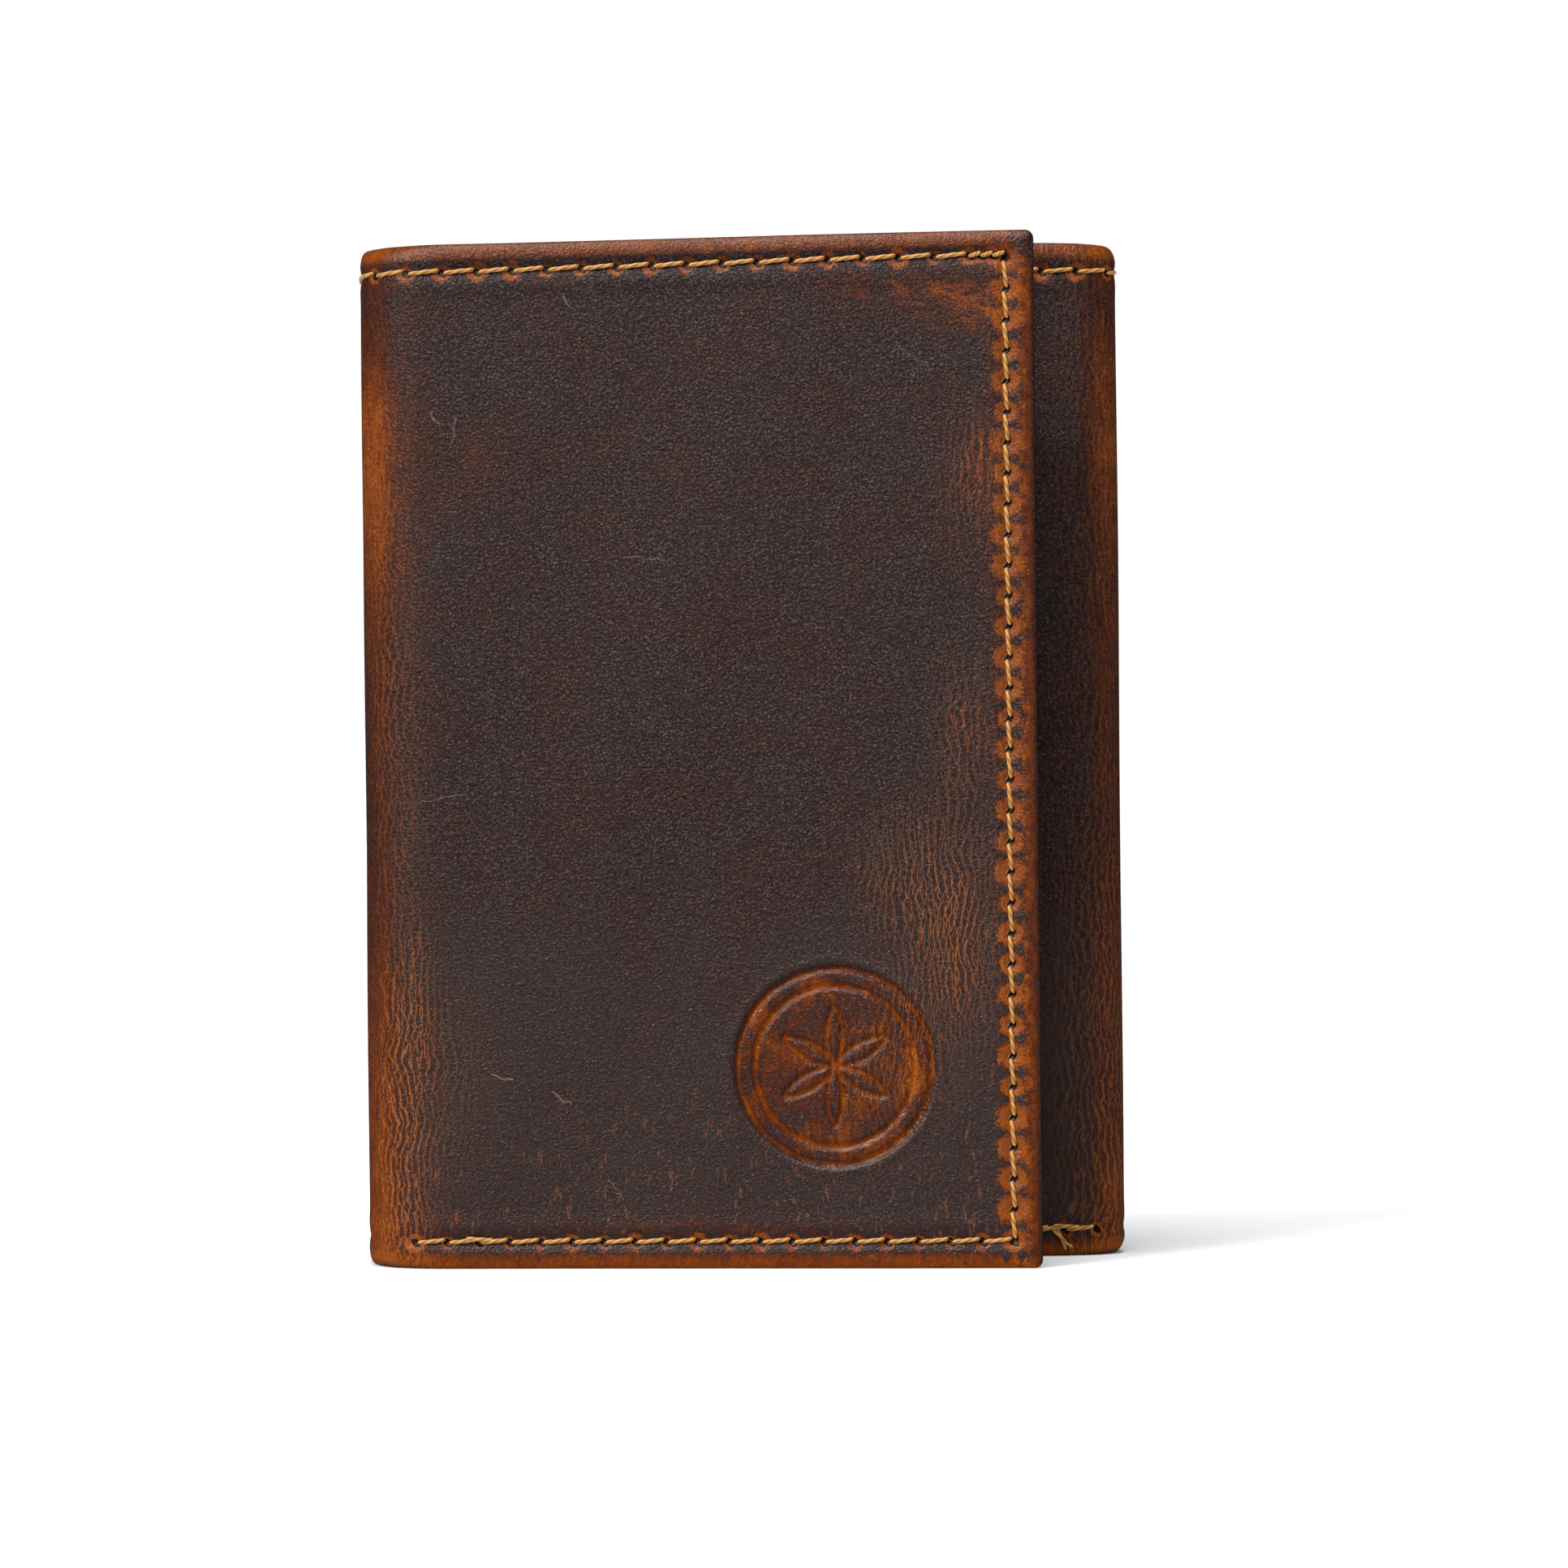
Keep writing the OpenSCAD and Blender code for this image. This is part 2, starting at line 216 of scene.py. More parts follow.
def place(s, z, depth):
    """Points in metres at unrolled distance s, height z and depth from the leather's middle."""
    s, z, depth = np.broadcast_arrays(*[np.asarray(values, float) for values in (s, z, depth)])
    fold = fold_share(s)
    edge = np.minimum(z, HEIGHT - z)
    pull = fold * (1 - np.sqrt(1 - np.clip(1 - edge / CORNER_REACH, 0, 1) ** 2))
    point, normal = path_at(s)
    xy = point - normal * (depth + CORNER_PINCH * pull + sway(s, z))[..., None]
    sag = SAG * smooth(s, 0, FRONT_W) * (1 - smooth(s, s_of(2, 0), s_of(2, BACK_W)))
    return np.concatenate([xy, (z * (1 - sag))[..., None]], -1) * MM


# ------ stitch lines


TOP_Z = HEIGHT - STITCH_INSET
LEAN = 0.19  # how far the ends of a stitch lie beside its seam's line
DENSE_END = 6.8  # the top seam starts with three short stitches, up to here
RISE = 0.5  # by which the top seam comes nearer to the rim at the front flap's free edge


def seam(runs, line, start, end, pitch, rise=0.0):
    """A row of holes: along the unrolled distance s or the height z, at a fixed other coordinate."""
    count = round(abs(end - start) / pitch)
    return {
        "runs": runs, "line": line, "start": start, "step": (end - start) / count,
        "count": count, "rise": rise,
    }


def rise_at(s):
    return np.clip(1 - s / FRONT_W, 0, 1)


SEAMS = [
    seam("s", TOP_Z, STITCH_INSET, DENSE_END, 1.25, RISE),
    seam("s", TOP_Z, DENSE_END, S_END - STITCH_INSET, PITCH_TOP, RISE),
    seam("z", STITCH_INSET, TOP_Z, STITCH_INSET, PITCH_SIDE),
    seam("s", STITCH_INSET, STITCH_INSET, s_of(0, FRONT_W - BOTTOM_START), PITCH_BOTTOM),
    seam("s", STITCH_INSET, s_of(2, BOTTOM_START), s_of(2, BACK_W - BOTTOM_START), PITCH_BOTTOM),
    seam("s", STITCH_INSET, s_of(4, INNER_START), S_END - STITCH_INSET, PITCH_BOTTOM),
    seam("z", S_END - STITCH_INSET, TOP_Z, STITCH_INSET, PITCH_SIDE),
]


def holes_of(row):
    """The (s, z) of each hole of a seam."""
    along = row["start"] + row["step"] * np.arange(row["count"] + 1)
    fixed = row["line"] + row["rise"] * rise_at(along)
    return np.stack([along, fixed] if row["runs"] == "s" else [fixed, along], -1)


def lean_of(row):
    """The offset of a stitch's start from its hole, square to the seam."""
    return np.array([0.0, LEAN]) if row["runs"] == "s" else np.array([LEAN, 0.0])


def hem_height(s, z, edge):
    """Height of the outer face over flat leather at a distance from the outline."""
    rim = np.clip(1 - edge / RIM, 0, 1)
    height = -RIM_DROP * (1 - np.sqrt(1 - rim**2))
    height += HEM_WELT * bump(edge, 1.7, 0.7)
    inset = STITCH_INSET - np.where(z > HEIGHT - 5, RISE * rise_at(s), 0)
    flat = 1 - 0.75 * fold_share(s)
    welt, channel = HEM_INNER_WELT * bump(edge, 4.6, 0.9), HEM_CHANNEL * bump(edge, inset, 0.55)
    return height + flat * (welt - channel)


def hole_field(s, z, reach):
    """1 at the stitch holes of every seam, fading within reach."""
    field = np.zeros_like(s)
    low, high = s.min() - 3, s.max() + 3
    for row in SEAMS:
        for hole_s, hole_z in holes_of(row):
            if low < hole_s < high:
                field = np.maximum(field, np.exp(-((s - hole_s) ** 2 + (z - hole_z) ** 2) / reach**2))
    return field


# ------ the stamp


def stamp_grooves(s, z):
    """1 in the stamped lines: two plain rings and a compass-drawn rosette of six petals."""
    x, y = s - STAMP_EDGE, z - STAMP_Z
    r = np.hypot(x, y)

    def line(distance, width):
        return 1 - smooth(np.abs(distance), width / 2 - 0.1, width / 2 + 0.1)

    mask = np.maximum(line(r - (STAMP_R - 0.35), 0.7), line(r - (STAMP_R - 2.25), 0.6))
    for k in range(6):
        centre = PETAL_R * unit(math.radians(60 * k + 30))
        arc = line(np.hypot(x - centre[0], y - centre[1]) - PETAL_R, 0.5)
        mask = np.maximum(mask, arc * (r < PETAL_R + 0.1))
    return mask


# ------ where the leather is rubbed, and where shade is painted on it

# Height and rubbing along the left fold, and along the right one
LEFT_FOLD_WEAR = [(0, 0.80), (5, 0.76), (12, 0.68), (25, 0.60), (36, 0.46), (50, 0.41), (66, 0.50),
                  (76, 0.72), (84, 0.92), (92, 0.92), (98, 0.58), (104, 0.44), (110, 0.5)]
RIGHT_FOLD_WEAR = [(0, 0.72), (6, 0.72), (14, 0.46), (40, 0.46), (60, 0.50), (75, 0.56), (86, 0.82),
                   (96, 0.76), (103, 0.48), (110, 0.5)]
# The three other folds: how far inside one its rubbing starts and ends, fade, strength, heights
FOLD_RUBBING = {
    1: (2.0, 2.0, 5.0, 0.62, RIGHT_FOLD_WEAR),
    2: (2.0, 2.0, 5.0, 0.62, LEFT_FOLD_WEAR),
    3: (0.0, 3.4, 4.5, 0.86, RIGHT_FOLD_WEAR),
}
# Rubbed patches: distance from the front flap's free edge, height, their reach, strength
PATCHES = [
    (7, 102.3, 4.0, 2.9, 0.36),
    (13, 104.0, 7, 2.0, 0.26),
    (3.5, 104, 2.2, 5, 0.22),
    (6.5, 85, 2.2, 4.5, 0.36),
    (8, 57.5, 2.2, 3.2, 0.20),
    (5.4, 57, 1.3, 4, 0.2),
    (9, 40, 3.4, 4.5, 0.16),
    (8.5, 32, 3.6, 6, 0.20),
    (13.6, 20.5, 1.5, 2.8, 0.5),
    (19, 13, 6, 2.2, 0.20),
    (29, 24, 3.4, 5, 0.22),
    (24, 29, 4, 2, 0.2),
    (62.5, 5.6, 1.2, 0.8, 0.4),
    (59.5, 87, 2.4, 2.6, 0.34),
    (62, 83, 2.6, 3.5, 0.24),
    (36, 4.4, 24, 1.0, 0.26),
]
# Patches where the finish has crazed: the same values
CRAZED = [
    (68.2, 11, 3.3, 14, 1.0),
    (67.2, 27, 2.3, 9, 0.8),
    (62, 21, 3.4, 9, 0.26),
    (69, 60, 3.2, 28, 0.42),
    (9.5, 35, 5.0, 11, 1.0),
    (15, 42, 4.5, 6, 0.6),
    (8, 57, 3.0, 7, 0.6),
    (7, 84, 3.2, 7, 0.55),
    (18, 22, 7, 8, 0.35),
]
# Wavy scuffs under the top seam: the same values
SCUFFED = [
    (11, 103.4, 8, 2.6, 1.0),
    (20, 104.6, 7, 1.4, 0.8),
    (8, 100.6, 4.5, 2.2, 0.9),
    (38, 4.6, 26, 1.2, 0.5),
]


def profile(z, table):
    heights, values = zip(*table)
    return np.interp(z, heights, values)


def spots(s, z, table):
    total = np.zeros_like(s)
    for centre_s, centre_z, reach_s, reach_z, strength in table:
        total += strength * bump(s, centre_s, reach_s) * bump(z, centre_z, reach_z)
    return total


def band(s, start, end, fade):
    return smooth(s, start - fade, start) * (1 - smooth(s, end, end + fade))


def wear_and_shade_masks(s, z, edge):
    """Per-point masks of the shell leather's wear, and of painted shade along its free ends, from 0 to
    1.
    """
    (left_a, left_b), (right_a, right_b) = FOLDS[0], FOLDS[3]
    skirt = smooth(s, left_a - 4.5, left_a + 2.5) * (1 - smooth(s, left_b, left_b + 5))
    core = smooth(s, left_a + 1.4, left_a + 5.0) * (1 - smooth(s, left_b - 1, left_b + 4))
    wear = (0.44 * skirt + 0.56 * core) * profile(z, LEFT_FOLD_WEAR)
    for fold, (first, last, fade, strength, table) in FOLD_RUBBING.items():
        start, end = FOLDS[fold]
        wear += strength * band(s, start + first, end - last, fade) * profile(z, table)
    # The rims, the free ends and the leather along the upright seams
    end = np.minimum(s, S_END - s)
    rim = 1 - smooth(edge, 1.3, 2.2)
    wear = wear * (1 - 0.6 * rim) + 0.62 * rim
    wear += 0.1 * (1 - smooth(z, 0.6, 1.5))
    free_rim = 1 - smooth(end, 0.9, 2.1)
    wear -= 0.32 * rim * free_rim
    wear += 0.15 * (1 - smooth(end, 2.4, 4.0))
    wear += 0.12 * bump(end, 0.9, 0.6)
    seam_side = smooth(z, 2, 5) * (1 - smooth(z, 101, 106))
    upper = 0.5 + 0.5 * smooth(z, 50, 68)
    wear += 0.66 * upper * band(end, 3.1, 4.1, 0.45) * seam_side
    wear += 0.30 * bump(end, 4.8, 0.16) * seam_side * upper
    wear += 0.30 * bump(end, 5.6, 0.22) * smooth(z, 62, 78) * (1 - smooth(z, 95, 101))
    wear += spots(s, z, PATCHES)
    dark = 0.6 * bump(edge, 2.5, 0.45) * (1 - fold_share(s)) * (end > 4)
    dark += 0.7 * (1 - smooth(np.hypot(s - 0.5, z - 109.5), 0.6, 4.5))
    # Painted shade: a thin dark line along each free end, where the rounded rim turns away
    dark += 0.5 * (1 - smooth(end, 0.1, 0.45))
    veins = 0.55 * band(s, right_a - 1, right_b, 5) * (1 - 0.6 * smooth(z, 20, 60))
    near_stamp = s.min() < STAMP_EDGE
    return {
        "wear": np.clip(wear, 0, 1.2),
        "dark": np.clip(dark, 0, 1),
        "rim": rim,
        "flecked": (1 - smooth(end, 2.6, 4.2)) * smooth(end, 0.5, 1.2),
        "crazed": np.clip(spots(s, z, CRAZED) + veins, 0, 1),
        "scuffed": np.clip(spots(s, z, SCUFFED), 0, 1),
        "groove": stamp_grooves(s, z) if near_stamp else np.zeros_like(s),
        "inside_stamp": 1 - smooth(np.hypot(s - STAMP_EDGE, z - STAMP_Z), STAMP_R - 0.6, STAMP_R),
    }


def shell_face(s, z, edge):
    """Depth of the shell's outer face, with hems, stitch holes and the stamp."""
    height = hem_height(s, z, edge)
    height -= HOLE_DEPTH * hole_field(s, z, HOLE_REACH)
    height -= DIMPLE_DEPTH * hole_field(s, z, DIMPLE_REACH)
    if s.min() < STAMP_EDGE:
        height -= STAMP_DEPTH * stamp_grooves(s, z)
        r = np.hypot(s - STAMP_EDGE, z - STAMP_Z)
        height -= 0.05 * (1 - smooth(r, STAMP_R - 0.8, STAMP_R + 0.6))
        height += 0.05 * bump(r, STAMP_R + 0.5, 0.5)
    return -(HALF + height)


# ------ mesh tools


def rounded(x, z, x_range, z_range, free, radius):
    """Rounds a grid's free corners; finds each point's distance from the outline and its way inward."""
    x, z = x.copy(), z.copy()
    depth_z = np.minimum(z - z_range[0], z_range[1] - z)
    upper = np.where(z > (z_range[0] + z_range[1]) / 2, 1, -1)
    edge = depth_z.copy()
    inward = np.stack([np.zeros_like(x), -upper.astype(float)], -1)
    for is_free, end, sign in ((free[0], x_range[0], 1), (free[1], x_range[1], -1)):
        if not is_free:
            continue
        depth_x = sign * (x - end)
        a, b = np.clip(1 - depth_x / radius, 0, 1), np.clip(1 - depth_z / radius, 0, 1)
        corner = (a > 0) & (b > 0)
        round_a, round_b = a * np.sqrt(1 - b**2 / 2), b * np.sqrt(1 - a**2 / 2)
        size = np.hypot(round_a, round_b)
        edge = np.where(corner, radius * (1 - size), np.minimum(edge, depth_x))
        x = x + np.where(corner, sign * radius * (a - round_a), 0)
        z = z - np.where(corner, upper * radius * (b - round_b), 0)
        to_centre = np.stack([sign * round_a, -upper * round_b], -1) / np.maximum(size, 1e-9)[..., None]
        side = (depth_x < 1e-6) & ~corner
        inward = np.where(side[..., None], np.array([sign, 0.0]), inward)
        inward = np.where(corner[..., None], to_centre, inward)
    return x, z, edge, inward


def boundary(nx, nz):
    """Grid positions round the outline of an nx by nz grid, in order."""
    lower, right = [(i, 0) for i in range(nx)], [(nx - 1, j) for j in range(1, nz)]
    upper, left = [(i, nz - 1) for i in range(nx - 2, -1, -1)], [(0, j) for j in range(nz - 2, 0, -1)]
    return lower + right + upper + left


def grid_quads(nx, nz):
    i, j = np.meshgrid(np.arange(nx - 1), np.arange(nz - 1), indexing="ij")
    first = (i * nz + j).ravel()
    return np.stack([first, first + nz, first + nz + 1, first + 1], -1).tolist()


def ring_quads(a, b):
    """Quads between two closed rings of points."""
    return np.stack([a, np.roll(a, -1), np.roll(b, -1), b], -1).tolist()


BACK_ROW = 3.2  # how far inside its ends a slab's back has a row of points


def slab(name, xs, zs, put, face, levels, free=(True, True), radius=CORNER_R, masks=None):
    """A closed sheet: a detailed face, a rim through the levels (inset, depth), and a plain back."""
    nx, nz = len(xs), len(zs)
    x, z = np.meshgrid(xs, zs, indexing="ij")
    x, z, edge, inward = rounded(x, z, (xs[0], xs[-1]), (zs[0], zs[-1]), free, radius)
    depth = face(x, z, edge)
    flat = [np.stack([x, z, depth], -1).reshape(-1, 3)]
    loop = boundary(nx, nz)
    at = np.array([i * nz + j for i, j in loop])
    loop_xz, loop_in = flat[0][at, :2], inward.reshape(-1, 2)[at]
    cut_ends = [end for end, is_free in ((0, free[0]), (nx - 1, free[1])) if not is_free]
    loop_in[[i in cut_ends and 0 < j < nz - 1 for i, j in loop]] = 0
    for inset, level in levels:
        flat.append(np.column_stack([loop_xz + inset * loop_in, np.full(len(loop), level)]))
    back = levels[-1][1]
    rows = [int(np.argmin(np.abs(zs - value))) for value in (zs[0] + BACK_ROW, zs[-1] - BACK_ROW)]
    inner = [(i, j) for j in rows for i in range(1, nx - 1)]
    flat.append(np.array([[x[i, j], z[i, j], back] for i, j in inner]))
    flat = np.concatenate(flat)

    count = len(loop)
    faces = grid_quads(nx, nz)
    rings = [at] + [nx * nz + k * count + np.arange(count) for k in range(len(levels))]
    for outer, nearer in zip(rings, rings[1:]):
        faces += ring_quads(outer, nearer)
    index = {key: int(rings[-1][n]) for n, key in enumerate(loop)}
    first_inner = nx * nz + len(levels) * count
    index.update({key: first_inner + n for n, key in enumerate(inner)})
    stops = [0, *rows, nz - 1]
    for i in range(nx - 1):
        for low, high in zip(stops, stops[1:]):
            left = range(low, high + 1) if i == 0 else (low, high)
            right = range(low, high + 1) if i + 1 == nx - 1 else (low, high)
            faces.append([index[i, j] for j in left] + [index[i + 1, j] for j in reversed(right)])
    values = {}
    for key, field in (masks(x, z, edge) if masks else {}).items():
        ends = field.ravel()[at]
        values[key] = np.concatenate([field.ravel(), np.tile(ends, len(levels)), np.zeros(len(inner))])
    side = np.ones(len(flat))
    side[: nx * nz] = 0
    values["side"] = side
    return solid(name, put(flat[:, 0], flat[:, 1], flat[:, 2]), faces, flat, values)


def add_object(name, data):
    made = bpy.data.objects.new(name, data)
    bpy.context.scene.collection.objects.link(made)
    return made


def solid(name, points, faces, flat, values):
    """A closed mesh object with outward faces and per-point values; flat is the unrolled place."""
    mesh = bpy.data.meshes.new(name)
    mesh.from_pydata(points.tolist(), [], faces)
    build = bmesh.new()
    build.from_mesh(mesh)
    bmesh.ops.recalc_face_normals(build, faces=build.faces)
    build.to_mesh(mesh)
    build.free()
    mesh.polygons.foreach_set("use_smooth", np.ones(len(mesh.polygons), bool))
    mesh.set_sharp_from_angle(angle=math.radians(62))
    unrolled = mesh.attributes.new("unrolled", "FLOAT_VECTOR", "POINT")
    unrolled.data.foreach_set("vector", flat.astype(np.float32).ravel())
    for key, field in values.items():
        layer = mesh.attributes.new(key, "FLOAT", "POINT")
        layer.data.foreach_set("value", field.astype(np.float32))
    return add_object(name, mesh)


def finish_piece(piece, material, slot, *nodes):
    """Gives a piece its material and takes the CAD nodes' place; the slot is not used."""
    piece.data.materials.append(material)
    if nodes:
        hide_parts(*nodes)


# ------ node materials


class Wire:
    """One output of a node, which adds and multiplies like a number."""

    def __init__(self, graph, socket):
        self.graph = graph
        self.socket = socket

    def __add__(self, other):
        return self.graph.math("ADD", self, other)

    def __sub__(self, other):
        return self.graph.math("SUBTRACT", self, other)

    def __rsub__(self, other):
        return self.graph.math("SUBTRACT", other, self)

    def __mul__(self, other):
        return self.graph.math("MULTIPLY", self, other)

    def __truediv__(self, other):
        return self.graph.math("DIVIDE", self, other)


class Graph:
    """A material's node tree, with a short method for each kind of node used here."""

    def __init__(self, name):
        self.material = bpy.data.materials.new(name)
        self.material.use_nodes = True
        self.tree = self.material.node_tree
        self.tree.nodes.clear()

    def node(self, kind, inputs=(), **settings):
        """A new node; each input is a number, a vector or a Wire, and None leaves it alone."""
        made = self.tree.nodes.new("ShaderNode" + kind)
        for key, value in settings.items():
            setattr(made, key, value)
        for key, value in dict(inputs).items():
            if isinstance(value, Wire):
                self.tree.links.new(value.socket, made.inputs[key])
            elif value is not None:
                made.inputs[key].default_value = value
        return made

    def out(self, output, kind, inputs=(), **settings):
        """One output of a new node."""
        return Wire(self, self.node(kind, inputs, **settings).outputs[output])

    def value(self, attribute):
        return self.out("Fac", "Attribute", attribute_name=attribute)

    def vector(self, attribute):
        return self.out("Vector", "Attribute", attribute_name=attribute)

    def millimetres(self):
        """The place on the object, in millimetres."""
        return self.scaled(self.out("Object", "TexCoord"), (1000.0, 1000.0, 1000.0))

    def math(self, operation, a, b=None, clamp=False):
        return self.out(0, "Math", {0: a, 1: b}, operation=operation, use_clamp=clamp)

    def clamped(self, value):
        return self.math("ADD", value, 0.0, clamp=True)

    def highest(self, values):
        total = values[0]
        for value in values[1:]:
            total = self.math("MAXIMUM", total, value)
        return total

    def vector_math(self, operation, a, b=None, output="Vector"):
        return self.out(output, "VectorMath", {0: a, 1: b}, operation=operation)

    def scaled(self, vector, scale):
        return self.vector_math("MULTIPLY", vector, scale)

    def added(self, a, b):
        return self.vector_math("ADD", a, b)

    def parts(self, vector):
        """A vector's x and y."""
        split = self.node("SeparateXYZ", {0: vector})
        return [Wire(self, split.outputs[axis]) for axis in (0, 1)]

    def length(self, x, y):
        vector = self.out(0, "CombineXYZ", {0: x, 1: y})
        return self.vector_math("LENGTH", vector, output="Value")

    def noise(self, vector, scale, detail, roughness, distortion=0.0, output="Fac"):
        return self.out(
            output, "TexNoise",
            {"Vector": vector, "Scale": scale, "Detail": detail, "Roughness": roughness,
             "Distortion": distortion},
        )

    def warped(self, vector, scale, reach):
        """A vector moved about by smooth noise."""
        stray = self.noise(vector, scale, 2, 0.55, output="Color")
        return self.added(vector, self.scaled(stray, reach))

    def cells(self, vector, scale):
        """Distance to the nearest of the points strewn at that scale."""
        return self.out("Distance", "TexVoronoi", {"Vector": vector, "Scale": scale})

    def remap(self, value, low, high, to_low=0.0, to_high=1.0, smoothly=True):
        return self.out(
            "Result", "MapRange",
            {"Value": value, "From Min": low, "From Max": high, "To Min": to_low, "To Max": to_high},
            interpolation_type="SMOOTHSTEP" if smoothly else "LINEAR",
        )

    def ramp(self, value, stops):
        made = self.node("ValToRGB", {"Fac": value})
        elements = made.color_ramp.elements
        while len(elements) < len(stops):
            elements.new(0.5)
        for element, (position, colour) in zip(elements, stops):
            element.position = position
            element.color = (*colour, 1)
        return Wire(self, made.outputs["Color"])

    def mix(self, factor, a, b):
        a, b = [(*tone, 1) if isinstance(tone, tuple) else tone for tone in (a, b)]
        return self.out(2, "Mix", {0: factor, 6: a, 7: b}, data_type="RGBA")

    def bumped(self, height, distance, strength=1.0, normal=None):
        return self.out(
            "Normal", "Bump",
            {"Height": height, "Distance": distance * MM, "Strength": strength, "Normal": normal},
        )

    def surface(self, **inputs):
        names = {key: key.replace("_", " ").title().replace("Ior", "IOR") for key in inputs}
        shader = self.node("BsdfPrincipled", {names[k]: v for k, v in inputs.items()})
        output = self.node("OutputMaterial")
        self.tree.links.new(shader.outputs[0], output.inputs[0])
        return self.material


def centred(noise, size):
    return (noise - 0.5) * size


def seam_masks(g, at, ragged):
    """Masks of the stitch holes, which get painted shade, the rubbed halos round them, and the dark
    islands between those.
    """
    s, z = g.parts(at)
    holes, halos, islands = [], [], []
    for number, row in enumerate(SEAMS):
        level = row["runs"] == "s"
        along, across = (s, z) if level else (z, s)
        steps = (along - row["start"]) / row["step"]
        nearest = g.math("MINIMUM", g.math("MAXIMUM", steps, 0.0), float(row["count"]))
        nearest = g.math("ROUND", nearest)
        off_along = (steps - nearest) * row["step"]
        off_across = across - row["line"]
        if row["rise"]:
            share = g.math("SUBTRACT", 1.0, along / float(FRONT_W), clamp=True)
            off_across -= share * row["rise"]
        key = nearest + 17.3 * number
        luck = g.out("Value", "TexWhiteNoise", {"W": key}, noise_dimensions="1D")

        slit = off_across + off_along * (-0.45 if level else 0.45) + (0.14 if level else 0.0)
        gap = g.length(off_along * (1.0 / HOLE_ALONG), slit * (1.0 / HOLE_ACROSS)) + ragged * 0.10
        holes.append(1.0 - g.remap(gap, 0.8, 1.1))

        reach = HALO_REACH if level else HALO_REACH_SIDE
        torn = g.length(off_along, off_across + (0.2 if level else 0.0))
        torn = torn * g.remap(luck, 0.0, 1.0, 0.80 / reach, 1.25 / reach, False) + ragged * 0.70
        halos.append(1.0 - g.remap(torn, 0.78, 1.12))

        if not level:
            middle = 0.5 * float(abs(row["step"])) - g.math("ABSOLUTE", off_along)
            beside = g.math("ABSOLUTE", off_across) - 0.85
            island = g.length(middle * 1.35, beside * 1.9) + ragged * 0.9
            islands.append((1.0 - g.remap(island, 0.6, 1.1)) * g.remap(luck, 0.1, 0.8, 0.35, 1.0))
    return g.highest(holes), g.highest(halos), g.highest(islands)


# Scratches on the front flap: ends in unrolled distance and height, width, and how pale they are
SCRATCHES = [
    ((64.6, 91.8), (63.8, 90.6), 0.12, 0.25),
    ((61.9, 91.3), (62.4, 88.6), 0.12, 0.15),
    ((66.0, 50.2), (61.2, 51.2), 0.07, 0.25),
    ((59.0, 20.9), (56.6, 20.3), 0.07, 0.7),
    ((52.3, 18.9), (50.4, 17.6), 0.12, 0.25),
    ((50.2, 104.2), (49.6, 103.0), 0.08, 0.4),
    ((44.0, 76.2), (39.4, 75.6), 0.07, 0.2),
    ((14.5, 98.0), (11.0, 95.6), 0.07, 0.2),
    ((46.5, 9.8), (44.6, 7.4), 0.06, 0.3),
]


def scratch_mask(g, at):
    """Thin pale lines between pairs of points."""
    here = g.added(g.warped(at, 0.8, (1.3, 1.3, 0.0)), (-0.65, -0.65, 0.0))
    here = g.scaled(here, (1.0, 1.0, 0.0))
    masks = []
    for start, end, width, strength in SCRATCHES:
        span = np.array(end) - np.array(start)
        offset = g.added(here, (-start[0], -start[1], 0.0))
        dot = g.vector_math("DOT_PRODUCT", offset, (*span, 0.0), output="Value")
        share = g.math("DIVIDE", dot, float(span @ span), clamp=True)
        reach = g.out("Vector", "VectorMath", {0: (*span, 0.0), "Scale": share}, operation="SCALE")
        gap = g.vector_math("DISTANCE", offset, reach, output="Value")
        masks.append((1.0 - g.remap(gap, 0.4 * width, width)) * strength)
    return g.highest(masks)


def wavy_lines(g, at, seed, spacing, drift, width):
    """Upright lines at a spacing, which lean slowly and waver quickly."""
    from_seed = g.added(at, (0.0, 0.0, seed))
    slow = g.noise(g.scaled(from_seed, (0.9, 0.85, 1.0)), 0.13, 1, 0.5)
    quick = g.noise(g.scaled(from_seed, (0.45, 0.80, 1.0)), 0.75, 2, 0.55)
    line = g.parts(at)[0] / spacing + slow * drift + quick * 1.8
    off = g.math("ABSOLUTE", g.math("FRACT", line) - 0.5)
    return 1.0 - g.remap(off, 0.5 * width, width)


# How worn the leather is, and its colour there
LEATHER_TONES = [
    (0.0, (0.0110, 0.0066, 0.0078)),
    (0.20, (0.0260, 0.0085, 0.0080)),
    (0.40, (0.0560, 0.0120, 0.0050)),
    (0.60, (0.1120, 0.0240, 0.0040)),
    (0.80, (0.1800, 0.0360, 0.0020)),
    (1.0, (0.2600, 0.0620, 0.0040)),
]


